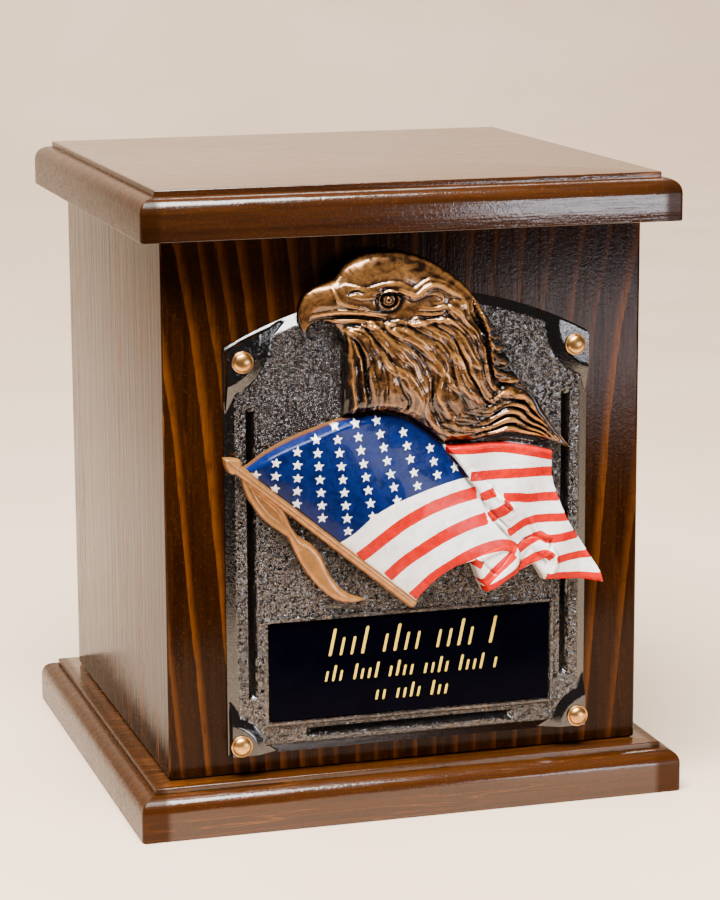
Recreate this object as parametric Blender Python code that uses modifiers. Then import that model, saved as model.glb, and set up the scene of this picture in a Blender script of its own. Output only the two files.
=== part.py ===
"""Wooden cremation urn box with a cast eagle-and-flag plaque on its front.

Metres, +Z up, the front towards -Y, the origin in the middle of the underside.
The plaque's own pieces are drawn on a sheet: x across, y up from the panel's
lower edge, z out from the wood. An empty turns that sheet onto the front.
"""

import math

import bmesh
import bpy
import numpy as np
from mathutils import Matrix, Vector
from mathutils.geometry import delaunay_2d_cdt

# Gap between pieces that touch
GAP = 0.0003

# Box of four mitred boards
BODY_WIDTH = 0.195
BODY_DEPTH = 0.182
BODY_HEIGHT = 0.2135
WALL = 0.019
BODY_CORNER = 0.0016
BODY_ARRIS = 0.0009

# Lid and base boards, and the router profile along their edges
LID_THICKNESS = 0.019
LID_FRONT_OVERHANG = 0.017
LID_SIDE_OVERHANG = 0.011
BASE_THICKNESS = 0.0195
BASE_FRONT_OVERHANG = 0.0155
BASE_SIDE_OVERHANG = 0.0145
EDGE_ROUND = 0.0062
EDGE_LEDGE = 0.0006
EDGE_STEP = 0.0023
EDGE_SIDES = 5
BOARD_CORNER = 0.0018
LEAST_CORNER = 0.0003
LOCATING_STEP = 0.006
LOCATING_CLEARANCE = 0.001

# Cast panel with an arched head
PLAQUE_WIDTH = 0.1485
PLAQUE_SHOULDER = 0.162
ARCH_RISE = 0.0193
PLAQUE_SILL = 0.0085
PANEL_EDGE = 0.0017
PANEL_FIELD = 0.0045
RIM_WIDTH = 0.0042

# Raised pads in the panel's corners, under the tacks
PAD_RISE = 0.0018
TOP_PAD_RADIUS = 0.0185
TOP_PAD_SLOPE = 0.005
TOP_PAD_OUT = 0.0047
TOP_PAD_UP = 0.004
LOW_PAD_RADIUS = 0.0125
LOW_PAD_SLOPE = 0.0038
LOW_PAD_OUT = 0.0012
LOW_PAD_UP = 0.001
PAD_EDGE_INSET = 0.0008

# V-shaped slots
SLOT_WIDTH = 0.004
SLOT_DEPTH = 0.0021
SIDE_SLOT_INSET = 0.0098
SIDE_SLOT_FOOT = 0.0228
SIDE_SLOT_LENGTH = 0.1163
LOW_SLOT_UP = 0.0078
LOW_SLOT_LENGTH = 0.0865

# Nameplate, its recess and its frame
NAME_WIDTH = 0.1155
NAME_HEIGHT = 0.039
NAME_THICKNESS = 0.0012
NAME_UP = 0.033
RECESS_CLEARANCE = 0.0004
RECESS_DEPTH = 0.0015
FRAME_WIDTH = 0.0026
FRAME_RISE = 0.0009
STROKE_DEPTH = 0.0002
STROKE_WIDTH = 0.0008
STROKE_SLANT = 0.22
# Each row: half its length, its foot above the plate's middle, its height, its stroke pitch
STROKE_ROWS = (
    (0.0355, 0.0050, 0.0105, 0.0058),
    (0.0365, -0.0053, 0.0062, 0.0036),
    (0.0158, -0.0144, 0.0058, 0.0034),
)

# Domed tacks
TACK_RADIUS = 0.0037
TACK_DOME = 0.0021
TACK_RING = 0.0005
TACK_FLANGE = 0.0043
TACK_SHANK = 0.001
TACK_LENGTH = 0.014
TACK_CLEARANCE = 0.0004
TACK_SIDES = 12
TOP_TACK_INSET = 0.0066
TOP_TACK_DROP = 0.0047
LOW_TACK_INSET = 0.0043
LOW_TACK_UP = 0.005

# Relief, in drawing units: its drawing runs from the nameplate's frame up to the eagle's crown
DRAWING_FOOT = 55.1
DRAWING_CROWN = 198.2
RELIEF_HEADROOM = 0.0074
RING_INSET = 1.1
RIM_RUN = 1.0

# Eagle, in drawing units
EAGLE_DEPTH = 11.0
EAGLE_WALL = 2.2
EAGLE_ROUND = 13.0
EAGLE_MESH = 1.8
BACK_TIPS = ((34.5, 165.5), (38.5, 158.0), (45.0, 144.5))
BACK_TIP_COUNT = 5
BACK_NOTCH = (-2.8, -1.6)
NECK_LOCKS = 10
SHOULDER_LOCKS = 5
LOCK_FILL = 1.04
LOCK_RISE = 2.6
EYE = (-11.0, 179.5)
EYE_RADIUS = 3.0

# Flag, staff and ribbon, in drawing units
FLAG_WALL = 2.2
FLAG_ROUND = 1.6
FLAG_CREST = 8.6
FLAG_FLY = 5.6
FLAG_MESH = 3.3
STAFF_TOP = (-70.5, 116.2)
STAFF_FOOT = (0.6, 57.3)
STAFF_RADIUS = 1.75
STAFF_OUT = 3.1
FINIAL_LENGTH = 7.0
FINIAL_WIDTH = 6.6
RIBBON_THICKNESS = 3.4
RIBBON_MESH = 2.8

# Levels up the box
BODY_FOOT = BASE_THICKNESS + GAP
LID_UNDERSIDE = BODY_FOOT + BODY_HEIGHT + GAP
PLAQUE_FOOT = BASE_THICKNESS + PLAQUE_SILL
PAD_TOP = PANEL_FIELD + PAD_RISE
RELIEF_BACK = PANEL_FIELD + GAP
RELIEF_FOOT = PLAQUE_FOOT + NAME_UP + NAME_HEIGHT / 2 + FRAME_WIDTH

# The drawing unit, about a millimetre, fits the relief between the frame and the lid
UNIT = (LID_UNDERSIDE - RELIEF_HEADROOM - RELIEF_FOOT) / (DRAWING_CROWN - DRAWING_FOOT)
RELIEF_GAP = GAP / UNIT

# Colours: base colour, roughness, metallic
FINISHES = {
    "walnut_stained_pine": ((0.090, 0.030, 0.010), 0.25, 0.0),
    "pewter_cast": ((0.110, 0.080, 0.060), 0.35, 0.6),
    "antique_bronze": ((0.330, 0.170, 0.050), 0.22, 0.8),
    "enamelled_flag": ((0.700, 0.080, 0.040), 0.25, 0.0),
    "black_plate": ((0.006, 0.006, 0.010), 0.12, 0.0),
    "brass": ((0.620, 0.330, 0.120), 0.22, 1.0),
}


def clear_scene():
    for obj in list(bpy.data.objects):
        bpy.data.objects.remove(obj, do_unlink=True)


def new_collection(name):
    collection = bpy.data.collections.new(name)
    bpy.context.scene.collection.children.link(collection)
    return collection


def finish_material(name):
    """The material of that name, made when it is first asked for."""
    found = bpy.data.materials.get(name)
    if found:
        return found
    colour, roughness, metallic = FINISHES[name]
    material = bpy.data.materials.new(name)
    material.use_nodes = True
    shader = material.node_tree.nodes["Principled BSDF"]
    shader.inputs["Base Color"].default_value = (*colour, 1.0)
    shader.inputs["Roughness"].default_value = roughness
    shader.inputs["Metallic"].default_value = metallic
    material.diffuse_color = (*colour, 1.0)
    return material


def object_from(bm, name, collection, material=None):
    """A new object that takes its mesh from bm, which is freed."""
    bmesh.ops.recalc_face_normals(bm, faces=bm.faces)
    mesh = bpy.data.meshes.new(name)
    bm.to_mesh(mesh)
    bm.free()
    obj = bpy.data.objects.new(name, mesh)
    collection.objects.link(obj)
    if material:
        mesh.materials.append(finish_material(material))
    else:
        obj.hide_render = True
        obj.display_type = "WIRE"
    return obj


def block_mesh(width, depth, height, foot=(0.0, 0.0, 0.0)):
    """A box that stands on the point foot."""
    bm = bmesh.new()
    bmesh.ops.create_cube(bm, size=1.0)
    bmesh.ops.scale(bm, vec=(width, depth, height), verts=bm.verts)
    bmesh.ops.translate(bm, vec=Vector(foot) + Vector((0, 0, height / 2)), verts=bm.verts)
    return bm


def combine(obj, other, operation):
    modifier = obj.modifiers.new(operation.title(), "BOOLEAN")
    modifier.operation = operation
    modifier.object = other
    modifier.solver = "EXACT"


def ring_loft(rings, name, collection, material=None):
    """A closed solid through rings of like point counts, capped at both ends."""
    bm = bmesh.new()
    loops = [[bm.verts.new(point) for point in ring] for ring in rings]
    for lower, upper in zip(loops, loops[1:]):
        for i in range(len(lower)):
            j = (i + 1) % len(lower)
            bm.faces.new((lower[i], lower[j], upper[j], upper[i]))
    bm.faces.new(reversed(loops[0]))
    bm.faces.new(loops[-1])
    return object_from(bm, name, collection, material)


def edges_at_level(bm, level):
    return [e for e in bm.edges if all(abs(v.co.z - level) < 1e-6 for v in e.verts)]


def board_ring(width, depth, inset, level):
    """A rectangle drawn in by inset, its corners rounded as far as the inset leaves them."""
    radius = max(BOARD_CORNER - inset, LEAST_CORNER)
    ring = []
    for quarter, (sx, sy) in enumerate(((1, 1), (-1, 1), (-1, -1), (1, -1))):
        for step in range(3):
            angle = math.pi / 2 * (quarter + step / 2)
            ring.append((sx * (width / 2 - inset - radius) + radius * math.cos(angle),
                         sy * (depth / 2 - inset - radius) + radius * math.sin(angle), level))
    return ring


def moulded_rings(width, depth, thickness, foot):
    """Rings up a board with the router profile on its edge: quarter round, ledge, step."""
    shoulder = foot + thickness - EDGE_STEP
    rings = [board_ring(width, depth, 0.0, foot)]
    for i in range(EDGE_SIDES + 1):
        angle = math.pi / 2 * i / EDGE_SIDES
        rings.append(board_ring(width, depth, EDGE_ROUND * (1 - math.cos(angle)),
                                shoulder - EDGE_ROUND * (1 - math.sin(angle))))
    inset = EDGE_ROUND + EDGE_LEDGE
    rings.append(board_ring(width, depth, inset, shoulder))
    rings.append(board_ring(width, depth, inset, foot + thickness))
    return rings


def make_base(parts):
    rings = moulded_rings(BODY_WIDTH + 2 * BASE_SIDE_OVERHANG,
                          BODY_DEPTH + 2 * BASE_FRONT_OVERHANG, BASE_THICKNESS, 0.0)
    return ring_loft(rings, "base_board", parts, "walnut_stained_pine")


def make_lid(parts):
    """The lid board and the shallow step under it that drops inside the walls."""
    inset = 2 * (WALL + LOCATING_CLEARANCE)
    step = [board_ring(BODY_WIDTH - inset, BODY_DEPTH - inset, 0.0, level)
            for level in (LID_UNDERSIDE - LOCATING_STEP, LID_UNDERSIDE)]
    board = moulded_rings(BODY_WIDTH + 2 * LID_SIDE_OVERHANG,
                          BODY_DEPTH + 2 * LID_FRONT_OVERHANG, LID_THICKNESS, LID_UNDERSIDE)
    return ring_loft(step + board, "lid_board", parts, "walnut_stained_pine")


def wall_plan(length, across):
    """Plan of one mitred wall: its outer face at y = -across / 2, its mitres at 45 degrees."""
    shift = GAP / math.sqrt(2)
    half = length / 2
    face = -across / 2
    arc = []
    for i in range(3):
        angle = math.radians(270 - 22.5 * i)
        arc.append((-half + BODY_CORNER * (1 + math.cos(angle)) + shift,
                    face + BODY_CORNER * (1 + math.sin(angle))))
    left = arc + [(-half + WALL + shift, face + WALL)]
    return left + [(-x, y) for x, y in reversed(left)]


def make_wall(name, length, across, turn, parts):
    """One wall board, stood on the base and turned into its place."""
    plan = wall_plan(length, across)
    bm = bmesh.new()
    face = bm.faces.new([bm.verts.new((x, y, 0.0)) for x, y in plan])
    up = bmesh.ops.extrude_face_region(bm, geom=[face])
    risen = [v for v in up["geom"] if isinstance(v, bmesh.types.BMVert)]
    bmesh.ops.translate(bm, vec=(0, 0, BODY_HEIGHT), verts=risen)
    bmesh.ops.recalc_face_normals(bm, faces=bm.faces)
    outer = -across / 2
    rims = [e for e in edges_at_level(bm, 0.0) + edges_at_level(bm, BODY_HEIGHT)
            if all(abs(v.co.y - outer) < 1e-6 for v in e.verts)]
    bmesh.ops.bevel(bm, geom=rims, offset=BODY_ARRIS, segments=2, profile=0.5, affect="EDGES")
    wall = object_from(bm, name, parts, "walnut_stained_pine")
    wall.location = (0, 0, BODY_FOOT)
    wall.rotation_euler = (0, 0, math.radians(turn))
    return wall


def make_walls(parts):
    front = make_wall("front_board", BODY_WIDTH, BODY_DEPTH, 0, parts)
    make_wall("right_board", BODY_DEPTH, BODY_WIDTH, 90, parts)
    make_wall("back_board", BODY_WIDTH, BODY_DEPTH, 180, parts)
    make_wall("left_board", BODY_DEPTH, BODY_WIDTH, 270, parts)
    return front


def front_sheet(name, foot):
    """An empty that turns a drawing sheet onto the front of the box, its foot at that level."""
    sheet = bpy.data.objects.new(name, None)
    bpy.context.scene.collection.objects.link(sheet)
    sheet.rotation_euler = (math.pi / 2, 0, 0)
    sheet.location = (0, -BODY_DEPTH / 2, foot)
    return sheet


def panel_outline(inset, level):
    """The panel's outline, drawn in by inset, at that level out from the wood."""
    half = PLAQUE_WIDTH / 2
    radius = (half**2 + ARCH_RISE**2) / (2 * ARCH_RISE)
    centre = PLAQUE_SHOULDER + ARCH_RISE - radius
    reach = half - inset
    end = math.asin(reach / (radius - inset))
    points = [(-reach, inset, level), (reach, inset, level)]
    for i in range(25):
        angle = end * (1 - i / 12)
        points.append(((radius - inset) * math.sin(angle),
                       centre + (radius - inset) * math.cos(angle), level))
    return points


def pad_places():
    """Each corner pad: its centre, the radius of its flat top and the width of its slope."""
    half = PLAQUE_WIDTH / 2
    for side in (-1, 1):
        yield (side * (half + TOP_PAD_OUT), PLAQUE_SHOULDER + TOP_PAD_UP,
               TOP_PAD_RADIUS, TOP_PAD_SLOPE)
        yield side * (half + LOW_PAD_OUT), LOW_PAD_UP, LOW_PAD_RADIUS, LOW_PAD_SLOPE


def tack_places():
    half = PLAQUE_WIDTH / 2
    top = PLAQUE_SHOULDER - TOP_TACK_DROP
    return {
        "tack_top_left": (TOP_TACK_INSET - half, top),
        "tack_top_right": (half - TOP_TACK_INSET, top),
        "tack_bottom_left": (LOW_TACK_INSET - half, LOW_TACK_UP),
        "tack_bottom_right": (half - LOW_TACK_INSET, LOW_TACK_UP),
    }


def make_pads(cutters, sheet):
    """The four raised pads: short cones cut to the panel's outline."""
    sunk = PANEL_FIELD - PANEL_EDGE / 2
    limit = ring_loft([panel_outline(PAD_EDGE_INSET, level) for level in (0.0, 2 * PAD_TOP)],
                      "pad_limit", cutters)
    limit.parent = sheet
    pads = []
    for number, (x, y, radius, slope) in enumerate(pad_places()):
        bm = bmesh.new()
        foot = radius + slope * (PAD_TOP - sunk) / PAD_RISE
        bmesh.ops.create_cone(bm, cap_ends=True, segments=40, radius1=foot, radius2=radius,
                              depth=PAD_TOP - sunk)
        bmesh.ops.translate(bm, vec=(x, y, (PAD_TOP + sunk) / 2), verts=bm.verts)
        pad = object_from(bm, f"pad_{number}", cutters)
        pad.parent = sheet
        combine(pad, limit, "INTERSECT")
        pads.append(pad)
    return pads


def slot_cutter(name, x, y, length, along_y, cutters, sheet):
    """A V-shaped slot with pointed ends: a block whose lower face is drawn in to a line."""
    clear = SLOT_DEPTH
    bm = block_mesh(SLOT_WIDTH, length, SLOT_DEPTH + clear, (0, 0, -SLOT_DEPTH))
    widen = (SLOT_DEPTH + clear) / SLOT_DEPTH
    for v in bm.verts:
        if v.co.z < 0:
            v.co.x *= 0.06
            v.co.y -= math.copysign(SLOT_WIDTH / 2, v.co.y)
        else:
            v.co.x *= widen
            v.co.y += math.copysign(SLOT_WIDTH / 2 * (widen - 1), v.co.y)
    turn = Matrix.Identity(3) if along_y else Matrix.Rotation(math.pi / 2, 3, "Z")
    bmesh.ops.rotate(bm, matrix=turn, verts=bm.verts)
    bmesh.ops.translate(bm, vec=(x, y, PANEL_FIELD), verts=bm.verts)
    slot = object_from(bm, name, cutters)
    slot.parent = sheet
    return slot


def name_frame_rings():
    """Rings of the raised frame round the nameplate, from below the field to its top."""
    rings = []
    for spread, level in ((FRAME_WIDTH, PANEL_FIELD - PANEL_EDGE / 2),
                          (FRAME_WIDTH, PANEL_FIELD + FRAME_RISE / 3),
                          (FRAME_WIDTH - FRAME_RISE, PANEL_FIELD + FRAME_RISE)):
        x = NAME_WIDTH / 2 + spread
        y = NAME_HEIGHT / 2 + spread
        rings.append([(-x, NAME_UP - y, level), (x, NAME_UP - y, level),
                      (x, NAME_UP + y, level), (-x, NAME_UP + y, level)])
    return rings


def cylinder_cutter(name, x, y, radius, low, high, cutters, sheet):
    bm = bmesh.new()
    bmesh.ops.create_cone(bm, cap_ends=True, segments=12, radius1=radius, radius2=radius,
                          depth=high - low)
    bmesh.ops.translate(bm, vec=(x, y, (low + high) / 2), verts=bm.verts)
    cutter = object_from(bm, name, cutters)
    cutter.parent = sheet
    return cutter


def make_panel(parts, cutters, sheet):
    """The cast panel: chamfered rim, corner pads, frame, recess, slots and tack holes."""
    rings = [panel_outline(0.0, GAP), panel_outline(0.0, PANEL_EDGE),
             panel_outline(RIM_WIDTH, PANEL_FIELD)]
    panel = ring_loft(rings, "plaque_panel", parts, "pewter_cast")
    panel.parent = sheet
    for pad in make_pads(cutters, sheet):
        combine(panel, pad, "UNION")
    frame = ring_loft(name_frame_rings(), "name_frame", cutters)
    frame.parent = sheet
    combine(panel, frame, "UNION")
    recess = object_from(
        block_mesh(NAME_WIDTH + 2 * RECESS_CLEARANCE, NAME_HEIGHT + 2 * RECESS_CLEARANCE,
                   RECESS_DEPTH + 2 * FRAME_RISE, (0, NAME_UP, PANEL_FIELD - RECESS_DEPTH)),
        "name_recess", cutters)
    recess.parent = sheet
    combine(panel, recess, "DIFFERENCE")
    edge = PLAQUE_WIDTH / 2 - SIDE_SLOT_INSET
    middle = SIDE_SLOT_FOOT + SIDE_SLOT_LENGTH / 2
    for name, x, y, length, along_y in (
            ("slot_left", -edge, middle, SIDE_SLOT_LENGTH, True),
            ("slot_right", edge, middle, SIDE_SLOT_LENGTH, True),
            ("slot_low", 0.0, LOW_SLOT_UP, LOW_SLOT_LENGTH, False)):
        slot = slot_cutter(name, x, y, length, along_y, cutters, sheet)
        combine(panel, slot, "DIFFERENCE")
    return panel


def make_tacks(front, panel, parts, cutters, sheet):
    """Four domed tacks, and the holes that they pass through."""
    seat = PAD_TOP + GAP
    profile = []
    for i in range(5):
        angle = math.pi / 2 * i / 4
        profile.append((TACK_RADIUS * math.sin(angle), TACK_RING + TACK_DOME * math.cos(angle)))
    profile += [(TACK_FLANGE, TACK_RING), (TACK_FLANGE, 0.0), (TACK_SHANK, 0.0),
                (TACK_SHANK, -TACK_LENGTH), (0.0, -TACK_LENGTH - TACK_SHANK)]
    mesh = bpy.data.meshes.new("tack")
    mesh.from_pydata([(x, 0.0, z) for x, z in profile],
                     [(i, i + 1) for i in range(len(profile) - 1)], [])
    mesh.materials.append(finish_material("brass"))
    hole = TACK_SHANK + TACK_CLEARANCE
    depth = seat - TACK_LENGTH - TACK_SHANK - TACK_CLEARANCE
    for name, (x, y) in tack_places().items():
        tack = bpy.data.objects.new(name, mesh)
        parts.objects.link(tack)
        tack.parent = sheet
        tack.location = (x, y, seat)
        turned = tack.modifiers.new("Screw", "SCREW")
        turned.steps = TACK_SIDES
        turned.render_steps = TACK_SIDES
        turned.use_merge_vertices = True
        turned.merge_threshold = 0.00001
        turned.use_smooth_shade = True
        cutter = cylinder_cutter(f"hole_{name}", x, y, hole, depth, 2 * PAD_TOP, cutters, sheet)
        combine(panel, cutter, "DIFFERENCE")
        combine(front, cutter, "DIFFERENCE")


def stroke_places():
    """Feet, heights and slants of the inscription's strokes, in rows of uneven, wordless marks."""
    for row, (half, foot, height, pitch) in enumerate(STROKE_ROWS):
        count = int(2 * half / pitch)
        for i in range(count):
            # Every fifth place is left open, like the space between words
            if (i + row) % 5 == 4:
                continue
            tall = height * (1.0 if (i + 2 * row) % 3 == 0 else 0.66)
            x = (i - (count - 1) / 2) * 2 * half / count
            yield x, NAME_UP + foot, tall


def make_nameplate(parts, cutters, sheet):
    """The flat plate, with rows of shallow slanted strokes cut into its face."""
    back = PANEL_FIELD - RECESS_DEPTH + GAP
    plate = object_from(
        block_mesh(NAME_WIDTH, NAME_HEIGHT, NAME_THICKNESS, (0, NAME_UP, back)),
        "nameplate", parts, "black_plate")
    plate.parent = sheet
    strokes = bmesh.new()
    face = back + NAME_THICKNESS
    for x, y, tall in stroke_places():
        bottom = [(-STROKE_WIDTH / 2, 0), (STROKE_WIDTH / 2, 0),
                  (STROKE_WIDTH / 2 + STROKE_SLANT * tall, tall),
                  (-STROKE_WIDTH / 2 + STROKE_SLANT * tall, tall)]
        low = [strokes.verts.new((x + u, y + v, face - STROKE_DEPTH)) for u, v in bottom]
        foot = strokes.faces.new(low)
        up = bmesh.ops.extrude_face_region(strokes, geom=[foot])
        risen = [v for v in up["geom"] if isinstance(v, bmesh.types.BMVert)]
        bmesh.ops.translate(strokes, vec=(0, 0, 3 * STROKE_DEPTH), verts=risen)
    cutter = object_from(strokes, "inscription_strokes", cutters)
    cutter.parent = sheet
    combine(plate, cutter, "DIFFERENCE")


def smooth_curve(points, per_span=4):
    """Points along a curve that passes through each of the given ones (Catmull-Rom)."""
    p = np.array(points, dtype=float)
    ends = np.vstack([2 * p[0] - p[1], p, 2 * p[-1] - p[-2]])
    t = np.arange(per_span)[:, None] / per_span
    spans = []
    for a, b, c, d in zip(ends, ends[1:], ends[2:], ends[3:]):
        spans.append(0.5 * (2 * b + (c - a) * t + (2 * a - 5 * b + 4 * c - d) * t**2
                            + (3 * b - a - 3 * c + d) * t**3))
    return np.vstack(spans + [p[-1:]])


def joined(*runs):
    """One closed outline from runs of points, without the ones that repeat."""
    outline = []
    for run in runs:
        for point in run:
            if not outline or math.dist(point, outline[-1]) > 0.25:
                outline.append((float(point[0]), float(point[1])))
    if math.dist(outline[0], outline[-1]) < 0.25:
        outline.pop()
    return np.array(outline)


def distance_to_path(points, path, closed=False):
    """Distance from each point to a path of straight runs."""
    starts = path if closed else path[:-1]
    stops = np.roll(path, -1, axis=0) if closed else path[1:]
    best = np.full(len(points), np.inf)
    for a, b in zip(starts, stops):
        along = b - a
        share = np.clip((points - a) @ along / max(along @ along, 1e-12), 0, 1)
        away = points - (a + share[:, None] * along)
        best = np.minimum(best, np.hypot(away[:, 0], away[:, 1]))
    return best


def inside(points, outline):
    """Whether each point lies inside the outline, by the crossings to its right."""
    x, y = points[:, 0], points[:, 1]
    found = np.zeros(len(points), dtype=bool)
    for (x0, y0), (x1, y1) in zip(outline, np.roll(outline, -1, axis=0)):
        if y0 == y1:
            continue
        crosses = ((y0 > y) != (y1 > y)) & (x < (x1 - x0) * (y - y0) / (y1 - y0) + x0)
        found ^= crosses
    return found


def step_up(value, low, high):
    """Nought below low, one above high, and a smooth rise between."""
    t = np.clip((value - low) / (high - low), 0, 1)
    return t * t * (3 - 2 * t)


def rounded_edge(distance, radius):
    """A quarter round that rises from nought at the outline to one at radius in from it."""
    t = 1 - np.clip(distance / radius, 0, 1)
    return np.sqrt(1 - t * t)


def ridge(points, path, width, taper=0.45):
    """A rounded ridge along a path, full in its middle and narrower at its ends: 0 to 1.

    The width is one number, or one for each point of the path.
    """
    starts, stops = path[:-1], path[1:]
    lengths = np.hypot(*(stops - starts).T)
    before = np.concatenate([[0.0], np.cumsum(lengths)])
    best = np.full(len(points), np.inf)
    place = np.zeros(len(points))
    for a, b, length, start in zip(starts, stops, lengths, before):
        along = b - a
        share = np.clip((points - a) @ along / max(along @ along, 1e-12), 0, 1)
        away = points - (a + share[:, None] * along)
        far = np.hypot(away[:, 0], away[:, 1])
        nearer = far < best
        best = np.where(nearer, far, best)
        place = np.where(nearer, (start + share * length) / before[-1], place)
    wide = np.interp(place, before / before[-1], np.broadcast_to(width, len(path)))
    swell = taper + (1 - taper) * np.sin(np.pi * np.clip(place, 0, 1)) ** 0.6
    across = np.clip(best / (wide / 2), 0, 1)
    return swell * np.sqrt(1 - across**2)


def guide_family(guides):
    """A family of guide curves, each with the same number of points."""
    curves = [smooth_curve(g, 8) for g in guides]
    count = min(len(c) for c in curves)
    return np.array([c[np.linspace(0, len(c) - 1, count).round().astype(int)] for c in curves])


def curve_between(family, share):
    """The curve at a share of the way across the family, blended from its two neighbours."""
    place = share * (len(family) - 1)
    low = min(int(place), len(family) - 2)
    return (1 - (place - low)) * family[low] + (place - low) * family[low + 1]


def locks_between(guides, across):
    """Feather locks laid across a family of guides: each centre line and its width along it."""
    family = guide_family(guides)
    half = 0.5 / (across - 1)
    for i in range(across):
        share = i / (across - 1)
        lower = curve_between(family, max(share - half, 0))
        upper = curve_between(family, min(share + half, 1))
        reach = min(share + half, 1) - max(share - half, 0)
        curve = curve_between(family, share)
        run = np.gradient(curve, axis=0)
        run /= np.hypot(*run.T)[:, None]
        # The part of the spacing that lies square to the flow
        spread = np.abs(np.sum((upper - lower) * np.stack([-run[:, 1], run[:, 0]], axis=1), axis=1))
        yield curve, LOCK_FILL * spread * 2 * half / reach


def flow_lattice(guides, across, spacing):
    """Points on the crests and in the grooves of the locks, for crisp faces along them."""
    family = guide_family(guides)
    places = []
    for i in range(2 * across - 1):
        curve = curve_between(family, i / (2 * across - 2))
        run = np.concatenate([[0.0], np.cumsum(np.hypot(*np.diff(curve, axis=0).T))])
        marks = np.arange(spacing / 2 * (i % 2), run[-1], spacing)
        places.append(np.stack([np.interp(marks, run, curve[:, k]) for k in (0, 1)], axis=1))
    return np.vstack(places)


def flag_top():
    """The flag's upper edge, from the staff over the canton's swell to the fly corner."""
    canton = smooth_curve([(-68.5, 115.5), (-60, 121.5), (-50, 126.5), (-40, 130), (-30, 133),
                           (-20, 134.6), (-12, 134.6), (-5, 133), (0, 130.5), (6, 126),
                           (12, 121)], 2)
    fly = smooth_curve([(12, 121), (25, 120.2), (40, 120), (50, 118), (58, 115.5)], 2)
    return canton, fly


def flag_outline():
    canton, fly = flag_top()
    right = smooth_curve([(58, 115.5), (57.8, 106), (60, 98), (64.5, 87), (70.5, 78), (75.5, 70),
                          (78.8, 64.5), (79.6, 60.5)], 2)
    tail = [(70, 62.3), (60, 63), (54, 63.5), (52, 67), (50, 70.2)]
    dip = smooth_curve([(50, 70.2), (44, 67.5), (38, 64.5), (33, 61.5), (29, 60.5)], 2)
    curl = [(26.8, 65), (25, 70), (23.4, 73.4)]
    hem = smooth_curve([(23.4, 73.4), (17, 72), (10, 68), (4, 62.5), (0.6, 57.8)], 2)
    return joined(canton, fly, right, tail, dip, curl, hem)


def back_feather_tips():
    """Ragged feather tips down the nape: evenly spaced along one curve, with a notch between."""
    guide = smooth_curve(BACK_TIPS, 20)
    places = np.linspace(0, len(guide) - 1, BACK_TIP_COUNT).round().astype(int)
    points = []
    for place in places:
        tip = guide[place]
        points.append(tip)
        points.append(tip + np.array(BACK_NOTCH))
    return points


def eagle_outline():
    """Beak, crown, ragged nape, shoulder, the edge along the flag, throat and chin."""
    crown = smooth_curve([(-43.5, 167.5), (-45.6, 173.5), (-45, 179), (-42.5, 183.3),
                          (-38, 186), (-32, 188.2), (-29, 192), (-25, 195.3), (-19, 197.6),
                          (-11, 198.2), (-3, 197.3), (5, 194.5), (12, 190.5), (18, 186),
                          (23, 181.5), (27, 176), (30, 171.5)], 2)
    shoulder = smooth_curve([(46.5, 141.5), (51, 137), (55, 130.5), (59.5, 124),
                             (65.5, 116.2)], 2)
    under = [(61, 118), (57, 119.3)]
    canton, fly = flag_top()
    lift = RELIEF_GAP + 0.15
    fly_edge = fly[(fly[:, 0] > 12) & (fly[:, 0] < 54)][::-1] + (0, lift + 0.35)
    # The canton's edge slopes, so the clearance is laid off square to it
    slope = np.gradient(canton, axis=0)
    square = np.stack([-slope[:, 1], slope[:, 0]], axis=1)
    square /= np.hypot(*square.T)[:, None]
    canton_edge = (canton + square * lift)[canton[:, 0] > -28.5][::-1]
    throat = smooth_curve([(-28.4, 134.6), (-28.2, 146), (-28.4, 157), (-28, 163),
                           (-30, 168), (-33.5, 171.3)], 2)
    chin = smooth_curve([(-33.5, 171.3), (-37, 172), (-40.5, 171), (-42, 169)], 2)
    return joined(crown, back_feather_tips(), shoulder, under, fly_edge,
                  canton_edge, throat, chin)


# Feather guides over the neck, from the throat round to the nape
NECK_GUIDES = (
    ((-27, 168), (-26.5, 158), (-26, 147), (-25, 136)),
    ((-27, 169), (-19, 160), (-15, 149), (-13, 136)),
    ((-22, 169.5), (-11, 161), (-5, 151), (-2, 142), (-0.5, 134)),
    ((-14, 169), (-3, 163), (4, 155), (6, 146), (7, 138), (11, 130)),
    ((-4, 169), (6, 164), (12, 156), (14, 148), (18, 140), (23, 131)),
    ((5, 169.5), (13, 164), (18, 156), (21, 148), (26, 141), (32, 134)),
    ((12, 171), (20, 166), (25, 157), (28, 148), (33, 141), (39, 136)),
    ((17, 176), (24, 168), (28, 158), (31, 149), (36, 142), (43, 138)),
)
SHOULDER_GUIDES = (
    ((30, 137), (38, 140), (46, 136.5), (53, 130.5), (58, 124)),
    ((20, 133), (30, 132.5), (42, 133), (53, 127), (61, 119.5)),
    ((12, 128), (24, 127), (38, 128.5), (51, 124), (63, 117.5)),
    ((14, 123.5), (26, 123), (39, 124), (50, 121.5), (60, 119)),
)


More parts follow.
